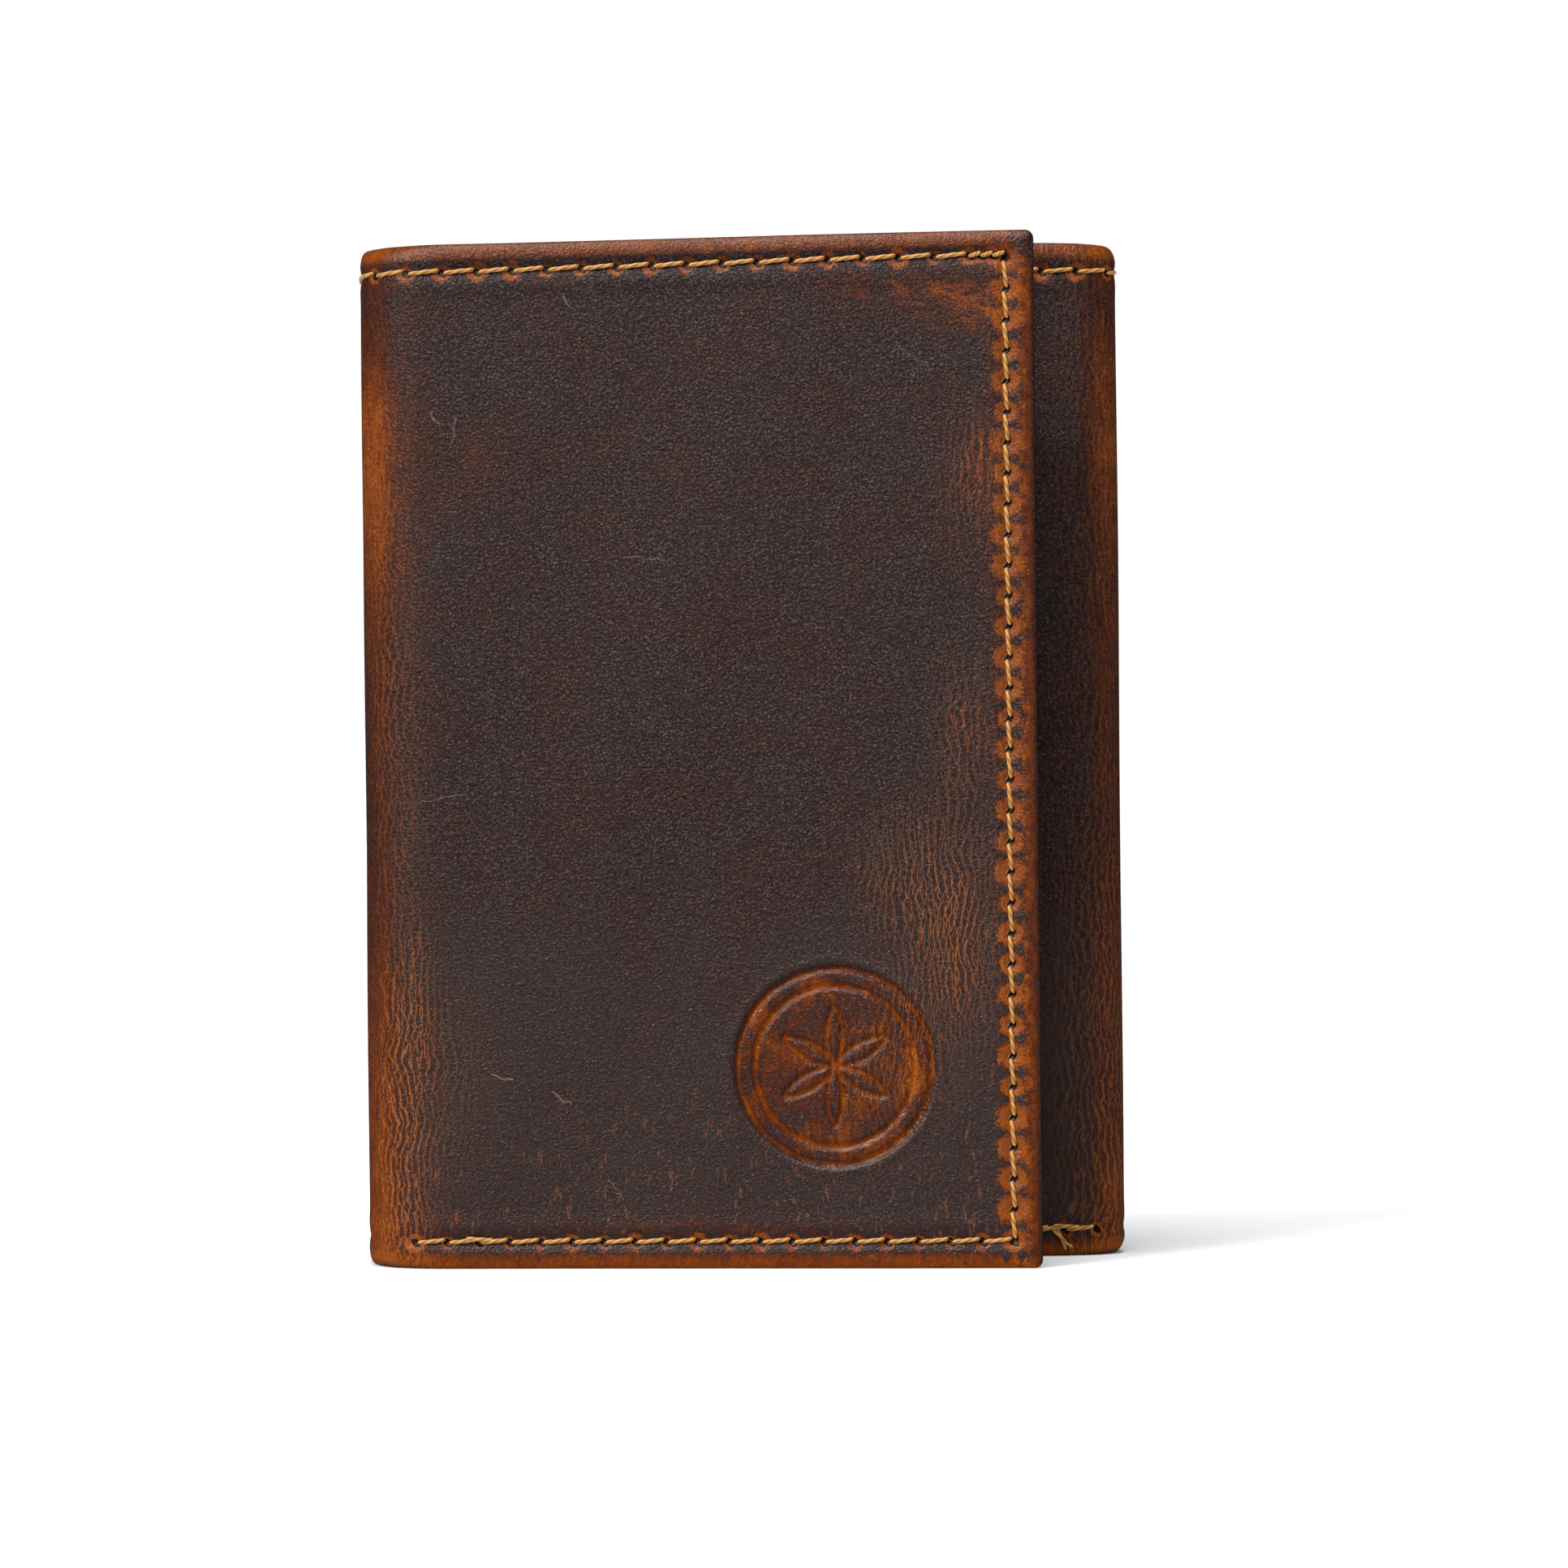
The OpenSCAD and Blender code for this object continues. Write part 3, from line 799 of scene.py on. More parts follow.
def pull_up_leather():
    """Oiled shell leather: near black, and orange where it is bent, rubbed or pierced."""
    g = Graph("pull_up_leather")
    at = g.vector("unrolled")
    broad = g.noise(at, 0.11, 4, 0.6)
    cloud = g.noise(at, 0.38, 5, 0.62, 0.5)
    streaks = g.noise(g.scaled(at, (1.0, 0.22, 1.0)), 1.9, 5, 0.68, 0.5)
    fine = g.noise(at, 2.6, 4, 0.65)
    flecks = g.noise(at, 0.95, 4, 0.62)
    grain = g.cells(g.warped(at, 2.5, (0.3, 0.3, 0.3)), 3.1)
    pebble = g.noise(at, 3.4, 3, 0.7)
    tiny = g.noise(at, 7.5, 2, 0.6)
    wear, crazed, rim, groove = [g.value(key) for key in ("wear", "crazed", "rim", "groove")]
    inside_stamp = g.value("inside_stamp")

    # Crazing: two families of wavy upright lines that meet at sharp angles
    first = wavy_lines(g, at, 3.0, 0.72, 6.0, 0.16) * g.remap(fine, 0.36, 0.50)
    second = wavy_lines(g, at, 41.0, 0.84, -6.0, 0.15) * g.remap(streaks, 0.36, 0.52)
    cracks = g.clamped(g.highest([first, second]) * crazed)
    waves = g.noise(g.scaled(g.warped(at, 0.3, (0.0, 1.6, 0.0)), (0.34, 1.7, 0.0)), 1.0, 4, 0.62, 0.3)
    scuffs = g.remap(waves, 0.44, 0.60) * g.value("scuffed")

    # How worn the leather is, from 0 to 1
    ragged = centred(fine, 1.8) + centred(tiny, 0.9)
    hole, halo, island = seam_masks(g, at, ragged)
    blotches = centred(cloud, 0.44) + centred(streaks, 0.70)
    mottled = wear + blotches * (1.0 - crazed * 0.55) + centred(fine, 0.56)
    mottled = mottled + centred(flecks, 1.9) * g.value("flecked") - 0.03
    worn = g.highest([mottled, halo * 0.88]) + cracks * 0.50 + scuffs * 0.40
    # The dark mask darkens a band under the rims and a corner spot, and paints shade along the free
    # ends
    worn = worn - island * 0.60 - g.value("dark") * 0.5
    worn = g.clamped(worn + inside_stamp * (centred(cloud, 1.2) + 0.30) + groove * 0.34)

    colour = g.ramp(worn, LEATHER_TONES)
    # Painted highlights as light specks on the grain, and reddish grain, on the dark parts; fewer on
    # the lower part, which has a polish and a painted sheen
    height = g.parts(at)[1] + centred(broad, 26.0)
    lower_polish_and_sheen = 1.0 - g.remap(height, 24.0, 50.0)
    speck = g.remap(pebble + centred(tiny, 0.9), 0.47, 0.66)
    tint = g.mix(g.remap(broad, 0.40, 0.60), (0.108, 0.078, 0.078), (0.145, 0.056, 0.042))
    tint = g.mix(g.remap(worn, 0.08, 0.36), tint, (0.150, 0.052, 0.018))
    share = g.clamped(0.61 - worn * 0.95) * (1.0 - lower_polish_and_sheen * 0.62)
    colour = g.mix(speck * share, colour, tint)
    # Painted sheen: a pale grey veil on the lower part stands in for a reflection of the floor
    painted_sheen = g.clamped(0.30 - worn * 0.6)
    colour = g.mix(lower_polish_and_sheen * painted_sheen, colour, (0.056, 0.040, 0.034))
    # Painted shade in the grain's pits everywhere, pale cracks, upright strokes near the bottom,
    # scratches and dust
    pits = g.remap(grain + centred(tiny, 0.4), 0.36, 0.62) * (1.0 - lower_polish_and_sheen * 0.5)
    pits = pits * (1.0 - rim * 0.6) * (1.0 - worn * 0.55)
    colour = g.mix(pits * 0.74, colour, (0.007, 0.0035, 0.0035))
    colour = g.mix(cracks * 0.30, colour, (0.33, 0.125, 0.040))
    strokes = g.remap(g.noise(g.scaled(at, (1.0, 0.28, 1.0)), 2.4, 2, 0.5), 0.62, 0.71)
    strokes = strokes * (1.0 - g.remap(height, 8.0, 26.0)) * 0.55
    colour = g.mix(strokes, colour, (0.150, 0.050, 0.018))
    dust = 1.0 - g.remap(g.cells(at, 0.24), 0.014, 0.026)
    colour = g.mix(g.highest([scratch_mask(g, at), dust * 0.5]), colour, (0.34, 0.24, 0.18))
    # Painted shade: the stitch holes are near black
    colour = g.mix(hole * 0.98, colour, (0.002, 0.0015, 0.0015))
    edge_tone = g.mix(g.remap(cloud, 0.35, 0.6), (0.010, 0.006, 0.005), (0.050, 0.018, 0.009))
    colour = g.mix(g.value("side") * 0.85, colour, edge_tone)

    roughness = centred(fine, 0.24) + 0.36 - lower_polish_and_sheen * 0.07 + pits * 0.14
    roughness = roughness - inside_stamp * 0.16 - groove * 0.30 - rim * 0.09
    relief = grain * -0.6 + pebble * 1.2 - hole * 3.0
    normal = g.bumped(cracks * -1.0, 0.06, 0.9, g.bumped(relief, 0.085))
    return g.surface(
        base_color=colour, roughness=g.math("MAXIMUM", roughness, 0.09), specular_ior_level=0.24,
        specular_tint=(1.0, 0.78, 0.68, 1.0), normal=normal,
    )


def inner_leather(name, on_slabs):
    """Thinner, smoother brown leather of the inside, with a dark pressed crease near each mouth.

    Slabs know where each point lies on the unrolled sheet; plain CAD pieces do not.
    """
    g = Graph(name)
    at = g.vector("unrolled") if on_slabs else g.millimetres()
    cloud = g.noise(at, 0.16, 4, 0.6)
    grain = g.cells(g.warped(at, 2.0, (0.4, 0.4, 0.4)), 2.2)
    fine = g.noise(at, 3.2, 3, 0.6)
    tones = [(0.35, (0.020, 0.009, 0.006)), (0.6, (0.040, 0.016, 0.009)), (0.8, (0.068, 0.026, 0.012))]
    colour = g.ramp(cloud * 0.8 + fine * 0.35, tones)
    # Painted shade in the grain's hollows, where the bump is lowest
    colour = g.mix(g.remap(grain, 0.34, 0.62) * 0.4, colour, (0.014, 0.0075, 0.006))
    dark = g.highest([g.value("crease") * 0.75, g.value("side") * 0.5])
    colour = g.mix(dark, colour, (0.010, 0.006, 0.005))
    return g.surface(
        base_color=colour, roughness=centred(fine, 0.2) + 0.44, specular_ior_level=0.22,
        normal=g.bumped(fine * 0.6 - grain * 0.7, 0.07, 0.9),
    )


def lining_cloth():
    """Plain-woven dark brown lining."""
    g = Graph("lining_cloth")
    at = g.vector("unrolled")
    s, z = g.parts(at)
    warp, weft = [g.math("SINE", along * 12.0) for along in (s, z)]
    weave = warp * weft * 0.5 + 0.5
    tone = weave * 0.6 + g.noise(at, 3.0, 3, 0.6) * 0.4
    colour = g.ramp(tone, [(0.2, (0.018, 0.012, 0.010)), (0.8, (0.060, 0.043, 0.034))])
    return g.surface(
        base_color=colour, roughness=0.62, specular_ior_level=0.3, sheen_weight=0.3,
        normal=g.bumped(weave, 0.06, 0.8),
    )


def clear_film():
    """Slightly hazy clear plastic."""
    g = Graph("clear_film")
    haze = g.noise(g.millimetres(), 0.10, 2, 0.5)
    colour = g.ramp(haze, [(0.3, (0.93, 0.95, 0.96)), (0.7, (0.98, 0.99, 0.99))])
    return g.surface(base_color=colour, roughness=haze * 0.05 + 0.01, transmission_weight=1.0, ior=1.40)


def gold_thread():
    """Waxed golden thread, with painted shade between its two plies."""
    g = Graph("gold_thread")
    fuzz = g.noise(g.vector("unrolled"), 7.0, 3, 0.6)
    colour = g.ramp(
        g.value("ply") * 0.75 + fuzz * 0.35,
        [(0.1, (0.18, 0.064, 0.005)), (0.5, (0.37, 0.155, 0.016)), (0.9, (0.54, 0.255, 0.036))],
    )
    return g.surface(
        base_color=colour, roughness=0.55, specular_ior_level=0.35, sheen_weight=0.25,
        normal=g.bumped(fuzz, 0.05, 0.6),
    )


# ------ the shell leather

EDGE_LINES = RIM * (1 - np.cos(np.linspace(0, math.pi / 2, 8)))
SHELL_LEVELS = [(0.0, -0.25 * HALF), (0.0, 0.45 * HALF), (0.12, 0.86 * HALF), (0.4, HALF)]
SHELL_STEPS = [0.4, 0.45, 0.45, 0.38]  # grid of the four pieces, and of the stamp
STAMP_STEP = 0.2


def stepped(low, high, step):
    """Evenly spaced grid lines between two that are already there."""
    return np.linspace(low, high, max(2, round((high - low) / step)) + 1)[1:-1]


def graded(low, high, free, step, fine=None):
    """Grid lines from low to high, close together at a free rim and in the fine stretch."""
    start = EDGE_LINES + low if free[0] else np.array([low])
    end = (high - EDGE_LINES)[::-1] if free[1] else np.array([high])
    if fine is None:
        return np.concatenate([start, stepped(start[-1], end[0], step), end])
    a, b, fine_step = fine
    before, after = stepped(start[-1], a, step), stepped(b, end[0], step)
    return np.concatenate([start, before, [a], stepped(a, b, fine_step), [b], after, end])


HINGES = [FRONT_LEFT, REAR_LEFT, REAR_RIGHT, FRONT_RIGHT]
SHELL_NODES = [["front_flap", "left_spine"], ["back"], ["right_spine"], ["inner_flap"]]
FOLD_NAMES = ["front_fold", "rear_left_fold", "rear_right_fold", "inner_fold"]
BLEND_REACH = 1.25  # a bend reaches this many times as far from its corner as the round part does


def blend_over(piece, fold):
    """Bakes a piece's placement into its points; the reach of a bend at its fold is worked out but not
    used.
    """
    corner = HINGES[fold]
    before, after = CORNERS[fold], CORNERS[fold + 2]
    to_before = (before - corner) / np.linalg.norm(before - corner)
    to_after = (after - corner) / np.linalg.norm(after - corner)
    turn = math.pi - math.acos(float(to_before @ to_after))
    reach = min(
        BLEND_REACH * FOLD_RADII[fold] * math.tan(turn / 2),
        0.49 * min(np.linalg.norm(before - corner), np.linalg.norm(after - corner)),
    )
    ends = [(*((corner + reach * side) * MM), HEIGHT / 2 * MM) for side in (to_before, to_after)]
    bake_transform(piece)


def make_shell(material):
    """The outer leather: four pieces that meet halfway between the folds."""
    reach = STAMP_R + 0.6
    fine_s = (STAMP_EDGE - reach, STAMP_EDGE + reach, STAMP_STEP)
    fine_z = (STAMP_Z - reach, STAMP_Z + reach, STAMP_STEP)
    for fold, step in enumerate(SHELL_STEPS):
        low, high = SPLITS[fold], SPLITS[fold + 1]
        free = (fold == 0, fold == 3)
        piece = slab(
            FOLD_NAMES[fold] + "_leather",
            graded(low, high, free, step, fine_s if fold == 0 else None),
            graded(0, HEIGHT, (True, True), step, fine_z if fold == 0 else None),
            place, shell_face, SHELL_LEVELS, free, masks=wear_and_shade_masks,
        )
        finish_piece(piece, material, "shell_leather", *[body + "_cover" for body in SHELL_NODES[fold]])
        blend_over(piece, fold)


# ------ stitches

THREAD_R = 0.235
RINGS = 18
SIDES = 10
TWIST = 2.6  # turns of the two plies in one stitch
ARCH = 0.17  # how far a stitch rises over the leather, and how far its ends go down
DIVE = 0.34


def twisted(line, radius, turns, put):
    """Points, faces and ply shading of a two-ply thread along points (s, z, height)."""
    rings = len(line)
    t = np.linspace(0, 1, rings)
    tangent = np.gradient(line, axis=0)
    tangent /= np.linalg.norm(tangent, axis=1)[:, None]
    across = np.cross([0.0, 0.0, 1.0], tangent)
    across /= np.linalg.norm(across, axis=1)[:, None]
    up = np.cross(tangent, across)
    angle = np.linspace(0, 2 * math.pi, SIDES, endpoint=False)
    phase = angle[None, :] - math.pi * turns * t[:, None]
    ply = 0.5 + 0.5 * np.cos(2 * phase)
    end_taper = np.clip(np.minimum(t, 1 - t) * 14 + 0.55, 0, 1)[:, None]
    size = radius * (0.92 + 0.16 * (ply - 0.5)) * end_taper
    ring = (
        line[:, None, :]
        + (size * np.cos(angle))[..., None] * across[:, None, :]
        + (size * np.sin(angle))[..., None] * up[:, None, :]
    )
    flat = ring.reshape(-1, 3)
    points = put(flat[:, 0], flat[:, 1], -flat[:, 2])
    faces = []
    for i in range(rings - 1):
        around = i * SIDES + np.arange(SIDES)
        faces += ring_quads(around, around + SIDES)
    faces.append(list(range(SIDES)))
    faces.append([(rings - 1) * SIDES + j for j in range(SIDES)])
    return points, faces, flat, ply.ravel()


def stitch(start, end, height, rise, put, radius=THREAD_R, rings=RINGS):
    """One stitch between two holes of a surface, its ends going down into them."""
    t = np.linspace(0, 1, rings)
    span = np.array(end) - np.array(start)
    middle = np.array(start) + np.outer(0.09 + 0.83 * t, span)
    lift = rise * np.sin(math.pi * (0.02 + 0.96 * t)) ** 0.4 - DIVE * (1 - np.sin(math.pi * t) ** 0.3)
    return twisted(np.column_stack([middle, height + lift]), radius, TWIST, put)


def join_stitches(name, made):
    """One piece of threads, each given as twisted() returns it."""
    faces = []
    count = 0
    for points, thread_faces, _, _ in made:
        faces += [[count + corner for corner in face] for face in thread_faces]
        count += len(points)
    points, _, flat, ply = [list(values) for values in zip(*made)]
    return solid(
        name, np.concatenate(points), faces, np.concatenate(flat), {"ply": np.concatenate(ply)}
    )


def inside_piece(fold):
    """Tells whether an unrolled distance belongs to the piece round that fold."""
    low, high = SPLITS[fold], SPLITS[fold + 1]
    return lambda s: low <= s < high


def seam_height():
    """How far a seam's channel is from the leather's middle, away from the folds."""
    at = np.array([20.0])
    return HALF + float(hem_height(at, at, np.array([STITCH_INSET]))[0])


def row_stitches(row, height, put, keep=None, **shape):
    """Twisted stitches between the holes of one seam, where keep() says so."""
    holes, lean = holes_of(row), lean_of(row)
    return [
        stitch(a + lean, b - lean, height, ARCH, put, **shape)
        for a, b in zip(holes, holes[1:])
        if keep is None or keep((a[0] + b[0]) / 2)
    ]


def back_tack(row, first, count, height, put):
    """A seam's end sewn over again, on top of and slightly beside the first stitches."""
    holes = holes_of(row)[first : first + count + 1] + np.array([0.45 * row["step"], 0.16])
    lean = lean_of(row)
    pairs = zip(holes, holes[1:])
    return [stitch(a - 0.3 * lean, b + 0.8 * lean, height + 0.1, 0.26, put) for a, b in pairs]


BOTTOM_FRONT = SEAMS[3]
BOTTOM_INNER = SEAMS[5]


def make_shell_stitches(material):
    """The stitches that show on the outer leather, with their back-tacks at the bottom."""
    height = seam_height()
    tacks = {
        0: back_tack(BOTTOM_FRONT, BOTTOM_FRONT["count"] - 3, 1, height, place),
        3: back_tack(BOTTOM_INNER, 0, 3, height, place),
    }
    for fold in range(4):
        made = list(tacks.get(fold, []))
        for row in SEAMS:
            made += row_stitches(row, height, place, inside_piece(fold))
        piece = join_stitches(FOLD_NAMES[fold] + "_stitches", made)
        finish_piece(piece, material, "thread", *[body + "_thread" for body in SHELL_NODES[fold]])
        blend_over(piece, fold)


def make_thread_tail(material):
    """The cut ends of the bottom seam's two threads, hanging near the right fold."""
    strands = []
    for ends in (
        [(7.7, 2.9, 0.62), (7.1, 2.2, 0.98), (6.3, 1.45, 0.92), (5.6, 0.85, 0.62)],
        [(7.2, 2.9, 0.66), (6.9, 2.1, 0.96), (6.5, 1.3, 0.84), (6.35, 0.62, 0.42)],
    ):
        corners = np.array(ends) + [s_of(4, 0), 0, 0]
        t = np.linspace(0, 3, 16)
        line = np.stack([np.interp(t, range(4), corners[:, k]) for k in range(3)], -1)
        line[1:-1] = (line[:-2] + 2 * line[1:-1] + line[2:]) / 4
        strands.append(twisted(line, 0.19, 2.0, place))
    piece = join_stitches("thread_tail", strands)
    finish_piece(piece, material, "thread", "loose_thread_tail")
    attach(piece, "inner_flap")


# ------ the inside

# Origin, direction along the panel and direction inward, for the flat insides
FLAT_FRAMES = {
    "front_flap": (FRONT_LEFT, FRONT_DIR, np.array([math.sin(AJAR), math.cos(AJAR)])),
    "back": (REAR_RIGHT, np.array([-1.0, 0.0]), np.array([0.0, -1.0])),
    "inner_flap": (INNER_END, np.array([1.0, 0.0]), np.array([0.0, 1.0])),
}
LINING_DEPTHS = (HALF, HALF + 0.25)
DIVIDER_DEPTHS = (HALF + 1.05, HALF + 1.5)
LINING_Z = (0.8, HEIGHT - 0.8)
DIVIDER_Z = (0.8, 104.8)
FREE_MARGIN = 1.0
CREASE_DEPTH = 0.16
POCKET_CREASE = 2.3  # from a pocket's mouth down to its crease


def on_panel(body):
    """A place()-like function for the flat inside of one panel."""
    origin, along, inward = FLAT_FRAMES[body]

    def put(x, z, depth):
        xy = origin + np.multiply.outer(x, along) + np.multiply.outer(depth, inward)
        return np.concatenate([xy, np.asarray(z)[..., None]], -1) * MM

    return put


def turned_inward(put):
    """The same place for heights over the inner face, as stitches have them."""
    return lambda x, z, depth: put(x, z, -np.asarray(depth))


def panel_range(body, node):
    """A node's extent along its panel, up, and inward, for the panels square to the axes."""
    low, high = node_box(node)
    origin, along, inward = FLAT_FRAMES[body]
    a, b = (low[:2] - origin) * (along + inward), (high[:2] - origin) * (along + inward)
    x, depth = sorted((a[0], b[0])), sorted((a[1], b[1]))
    return x, (low[2], high[2]), depth


def folded_layer(name, material, slot, depths, z_range, step, nodes, sheet=False):
    """A layer of the inside that runs round all four folds, in one piece to each fold."""
    near, far = depths
    limits = [SPLITS[0] + FREE_MARGIN, *SPLITS[1:4], SPLITS[4] - FREE_MARGIN]
    for fold in range(4):
        free = (fold == 0, fold == 3)
        low, high = limits[fold], limits[fold + 1]

        def inner_face(s, z, edge):
            return far - 0.4 * (far - near) * (1 - smooth(edge, 0, 0.3))

        piece = slab(
            FOLD_NAMES[fold] + "_" + name,
            graded(low, high, free, step),
            graded(*z_range, (True, True), step),
            place, inner_face, [(0.0, (near + far) / 2), (0.1, near)], free, 1.2,
        )
        finish_piece(piece, material, slot, *[body + "_" + nodes for body in SHELL_NODES[fold]])
        blend_over(piece, fold)
        if sheet:
            size = ((high - low) * MM, (z_range[1] - z_range[0]) * MM)


def rolled(edge):
    """1 at the edge of an inner piece, rounding off to 0 within half a millimetre."""
    return 1 - np.sqrt(1 - np.clip(1 - edge / 0.5, 0, 1) ** 2)


def pocket_face(near, far, mouth):
    """Depth of a pocket's face, with rolled edges and a crease and a welt below its mouth."""
    def face(x, z, edge):
        crease = CREASE_DEPTH * bump(mouth - z, POCKET_CREASE, 0.28)
        welt = 0.05 * bump(mouth - z, 1.3, 0.6)
        return far - 0.45 * (far - near) * rolled(edge) - crease + welt

    return face


def make_pockets(material):
    """Three stacked pockets on the back and three on the inner flap."""
    for body, family in (("back", "back_pocket"), ("inner_flap", "flap_pocket")):
        for i in (1, 2, 3):
            node = f"{family}_{i}"
            x_range, z_range, (near, far) = panel_range(body, node)
            mouth = z_range[1]
            piece = slab(
                node + "_leather",
                graded(*x_range, (True, True), 1.6),
                graded(*z_range, (True, True), 1.2, (mouth - 3.2, mouth - 1.5, 0.17)),
                on_panel(body), pocket_face(near, far, mouth),
                [(0.0, near + 0.35 * (far - near)), (0.12, near)], radius=1.5,
                masks=lambda x, z, edge: {"crease": bump(mouth - z, POCKET_CREASE, 0.3)},
            )
            finish_piece(piece, material, "interior_leather", node)
            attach(piece, body)


CARD_WINDOW_X = (12.0, 62.0)
CARD_WINDOW_Z = (12.2, 82.2)
CARD_WINDOW_R = 3.0
CARD_FRAME_X = (5.0, 69.0)
CARD_FRAME_Z = (1.2, 95.2)
CARD_FRAME_DEPTHS = (3.2, 3.95)
CARD_FRAME_STEPS = [0.0, 0.06, 0.2, 0.45, 0.8, 1.1, 1.25, 1.4, 1.55, 1.7, 1.9]  # from either edge
CARD_FRAME_CREASE = 1.4
NOTCH_R = 9.0


def frame_outline():
    """Outer edge of the card window's frame, round from the lower left corner, with a notch in the
    top; and which of its points are the top's."""
    (x0, x1), (z0, z1) = CARD_FRAME_X, CARD_FRAME_Z
    centre = (x0 + x1) / 2
    turn = np.linspace(0, math.pi, 33)[1:-1]
    right = np.linspace(x1, centre + NOTCH_R, 20)
    left = np.linspace(centre - NOTCH_R, x0, 20)
    top = np.concatenate([right, centre + NOTCH_R * np.cos(turn), left])
    top_z = np.full(len(top), z1)
    top_z[len(right) : -len(left)] = z1 - NOTCH_R * np.sin(turn)
    across, up = np.linspace(x0, x1, 70), np.linspace(z0, z1, 90)
    upright = np.ones(len(up) - 1)
    x = np.concatenate([across[:-1], x1 * upright, top[:-1], x0 * upright])
    z = np.concatenate([np.full(len(across) - 1, z0), up[:-1], top_z[:-1], up[:0:-1]])
    before = len(across) + len(up) - 2
    count = np.arange(len(x))
    return x, z, (count >= before) & (count < before + len(top) - 1)


def make_card_window(material):
    """The leather frame of the card window, with rolled edges and a crease round the opening."""
    x, z, on_top = frame_outline()
    (x0, x1), (z0, z1) = CARD_FRAME_X, CARD_FRAME_Z
    inner_x = np.interp(x, CARD_FRAME_X, CARD_WINDOW_X)
    inner_z = np.where(on_top, CARD_WINDOW_Z[1], np.interp(z, CARD_FRAME_Z, CARD_WINDOW_Z))
    inner_x, inner_z, _, _ = rounded(
        inner_x, inner_z, CARD_WINDOW_X, CARD_WINDOW_Z, (True, True), CARD_WINDOW_R
    )
    outer_x, outer_z, _, _ = rounded(x, z, CARD_FRAME_X, CARD_FRAME_Z, (True, True), 1.2)
    inner, outer = np.stack([inner_x, inner_z], -1), np.stack([outer_x, outer_z], -1)
    span = outer - inner
    length = np.linalg.norm(span, axis=1)
    near, far = CARD_FRAME_DEPTHS
    shares = [step / length for step in CARD_FRAME_STEPS] + [np.full(len(x), 0.5)]
    shares += [1 - step / length for step in reversed(CARD_FRAME_STEPS)]
    rings, creases = [], []
    for share in shares:
        edge = np.minimum(share, 1 - share) * length
        crease = bump(edge, CARD_FRAME_CREASE, 0.22)
        depth = far - 0.5 * (far - near) * rolled(edge) - CREASE_DEPTH * crease
        rings.append(np.column_stack([inner + share[:, None] * span, depth]))
        creases.append(crease)
    for edge_line in (outer, inner):
        rings.append(np.column_stack([edge_line, np.full(len(x), near)]))
        creases.append(np.zeros(len(x)))
    count = len(x)
    faces = []
    for k in range(len(rings)):
        a = k * count + np.arange(count)
        b = (k + 1) % len(rings) * count + np.arange(count)
        faces += ring_quads(a, b)
    flat = np.concatenate(rings)
    piece = solid(
        "card_window_frame", on_panel("front_flap")(flat[:, 0], flat[:, 1], flat[:, 2]), faces, flat,
        {"crease": np.concatenate(creases)},
    )
    finish_piece(piece, material, "interior_leather", "id_window_frame")
    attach(piece, "front_flap")


def make_inner_stitches(material):
    """U-shaped seams of the pockets and the card window, and the top seam's inner side."""
    foot = CARD_FRAME_Z[0] + 1.5
    for body, name, node, inset in (
        ("back", "back_pocket", "back_pocket_3", 1.5),
        ("inner_flap", "flap_pocket", "flap_pocket_3", 1.0),
        ("front_flap", "id_window", None, 1.5),
    ):
        if node:
            x_range, z_range, depths = panel_range(body, node)
        else:
            x_range, z_range, depths = CARD_FRAME_X, CARD_FRAME_Z, CARD_FRAME_DEPTHS
        a, b, top = x_range[0] + inset, x_range[1] - inset, z_range[1] - 1.0
        put = turned_inward(on_panel(body))
        made = []
        for row in (
            seam("s", foot, a, b, PITCH_TOP),
            seam("z", a, top, foot, PITCH_SIDE),
            seam("z", b, top, foot, PITCH_SIDE),
        ):
            made += row_stitches(row, depths[1] - 0.03, put, rings=12)
        piece = join_stitches(name + "_stitches", made)
        finish_piece(piece, material, "thread", name + "_thread")
        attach(piece, body)
    for fold in range(4):
        made = row_stitches(
            SEAMS[1], LINING_DEPTHS[1] - 0.02, turned_inward(place), inside_piece(fold),
            radius=0.2, rings=12,
        )
        piece = join_stitches(FOLD_NAMES[fold] + "_bobbin_stitches", made)
        finish_piece(piece, material, "thread")
        blend_over(piece, fold)


# ------ camera, floor and light

CAMERA_LENS = 149.0
CAMERA_DISTANCE = 0.701
CAMERA_SIDE = 0.00392
CAMERA_HEIGHT = 0.0525
CAMERA_YAW = math.radians(3.7)
CAMERA_PITCH = math.radians(-0.08)
CAMERA_ROLL = math.radians(-0.55)


def make_camera():
    data = bpy.data.cameras.new("camera")
    data.lens = CAMERA_LENS
    data.sensor_width = 36.0
    data.clip_start = 0.05
    data.clip_end = 20.0
    camera = add_object("camera", data)
    forward = Vector((math.sin(CAMERA_YAW), math.cos(CAMERA_YAW), 0))
    right = Vector((math.cos(CAMERA_YAW), -math.sin(CAMERA_YAW), 0))
    camera.location = right * CAMERA_SIDE - forward * CAMERA_DISTANCE + Vector((0, 0, CAMERA_HEIGHT))
    aim = forward + Vector((0, 0, math.tan(CAMERA_PITCH)))
    turn = aim.to_track_quat("-Z", "Y").to_matrix().to_4x4()
    camera.rotation_euler = (turn @ Matrix.Rotation(CAMERA_ROLL, 4, "Z")).to_euler()
    bpy.context.scene.camera = camera


def make_floor():
    """A wide pale plane."""
    side = 30.0
    mesh = bpy.data.meshes.new("floor")
    corners = [(-side, -side, 0), (side, -side, 0), (side, side, 0), (-side, side, 0)]
    mesh.from_pydata(corners, [], [[0, 1, 2, 3]])
    floor = add_object("floor", mesh)
    g = Graph("pale_floor")
    tone = g.noise(g.out("Object", "TexCoord"), 3.0, 2, 0.55)
    colour = g.ramp(tone, [(0.0, (0.90, 0.90, 0.90)), (1.0, (0.93, 0.93, 0.93))])
    mesh.materials.append(g.surface(base_color=colour, roughness=0.8, specular_ior_level=0.1))
    floor.visible_glossy = False


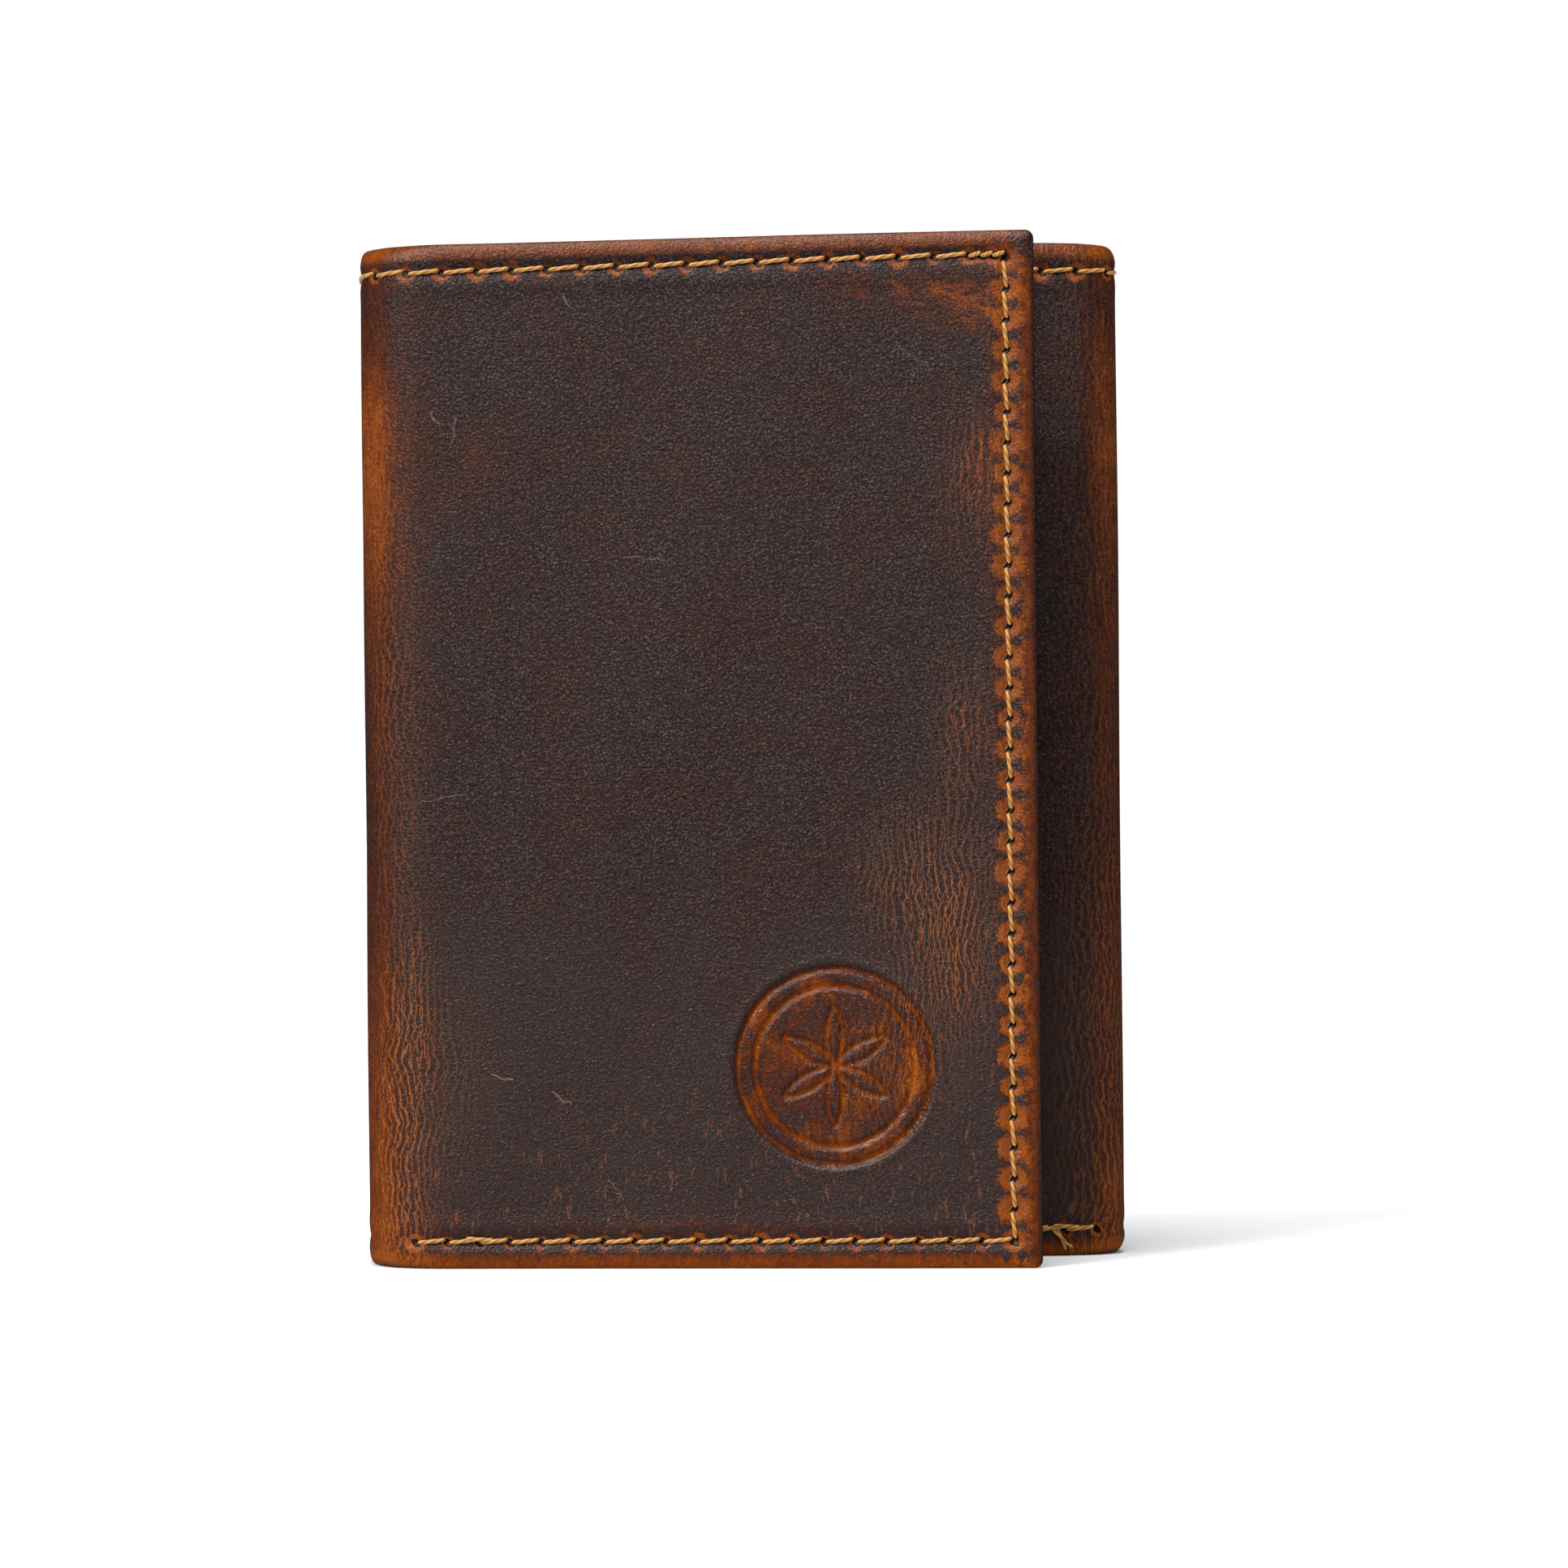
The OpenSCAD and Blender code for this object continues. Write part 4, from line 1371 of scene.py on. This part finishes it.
def make_light(kind, name, azimuth, elevation, energy, size, distance=1.0, glossy=True, diffuse=True):
    """A lamp seen from the wallet at an azimuth (0 is towards -Y, 90 towards +X) and elevation."""
    data = bpy.data.lights.new(name, kind)
    data.energy = energy
    if kind == "SUN":
        data.angle = size
    else:
        data.shape = "DISK"
        data.size = size
    lamp = add_object(name, data)
    a, e = math.radians(azimuth), math.radians(elevation)
    away = Vector((math.sin(a) * math.cos(e), -math.cos(a) * math.cos(e), math.sin(e)))
    lamp.location = Vector((0, 0, 0.05)) + away * distance
    lamp.rotation_euler = (-away).to_track_quat("-Z", "Y").to_euler()
    lamp.visible_glossy = glossy
    lamp.visible_diffuse = diffuse


def make_world():
    """White behind the object, dimmer as a light, and dimmer still as a reflection."""
    world = bpy.data.worlds.new("studio")
    bpy.context.scene.world = world
    world.use_nodes = True
    tree = world.node_tree
    tree.nodes.clear()
    path = tree.nodes.new("ShaderNodeLightPath")
    shown = None
    for ray, colour, strength in (
        (None, (0.92, 0.96, 1, 1), 0.29),
        ("Is Glossy Ray", (0.92, 0.96, 1, 1), 0.05),
        ("Is Camera Ray", (1, 1, 1, 1), 1.0),
    ):
        background = tree.nodes.new("ShaderNodeBackground")
        background.inputs["Color"].default_value = colour
        background.inputs["Strength"].default_value = strength
        if shown is None:
            shown = background.outputs[0]
            continue
        pick = tree.nodes.new("ShaderNodeMixShader")
        tree.links.new(path.outputs[ray], pick.inputs[0])
        tree.links.new(shown, pick.inputs[1])
        tree.links.new(background.outputs[0], pick.inputs[2])
        shown = pick.outputs[0]
    output = tree.nodes.new("ShaderNodeOutputWorld")
    tree.links.new(shown, output.inputs[0])


make_camera()
make_floor()
make_world()
make_light("SUN", "key", -48, 42, 2.9, math.radians(24))
make_light("SUN", "fill", 30, 70, 1.0, math.radians(60), glossy=False)
make_light("AREA", "top_strip", -10, 78, 3.6, 0.35, distance=0.7)
make_light("SUN", "spark", -40, 48, 3.2, math.radians(3), diffuse=False)
bpy.context.scene.view_settings.view_transform = "Standard"

leather = pull_up_leather()
thread = gold_thread()
panel_leather = inner_leather("inner_leather", True)
plate_leather = inner_leather("inner_leather_plates", False)
make_shell(leather)
make_shell_stitches(thread)
make_thread_tail(thread)
folded_layer("lining", lining_cloth(), "lining_fabric", LINING_DEPTHS, LINING_Z, 1.0, "lining", True)
folded_layer("divider", panel_leather, "interior_leather", DIVIDER_DEPTHS, DIVIDER_Z, 0.9, "divider")
make_pockets(panel_leather)
make_card_window(panel_leather)
make_inner_stitches(thread)
# CAD pieces that stay as they are, and only get a material
seam_plates = ["id_pocket_seams", "back_pocket_seams", "flap_pocket_seams"]
kept = dict.fromkeys(["front_flap_hem", "back_hem", "inner_flap_hem", *seam_plates], plate_leather)
kept["id_window_film"] = clear_film()
for node_name, material in kept.items():
    frame["nodes"][node_name].data.materials.clear()
    frame["nodes"][node_name].data.materials.append(material)
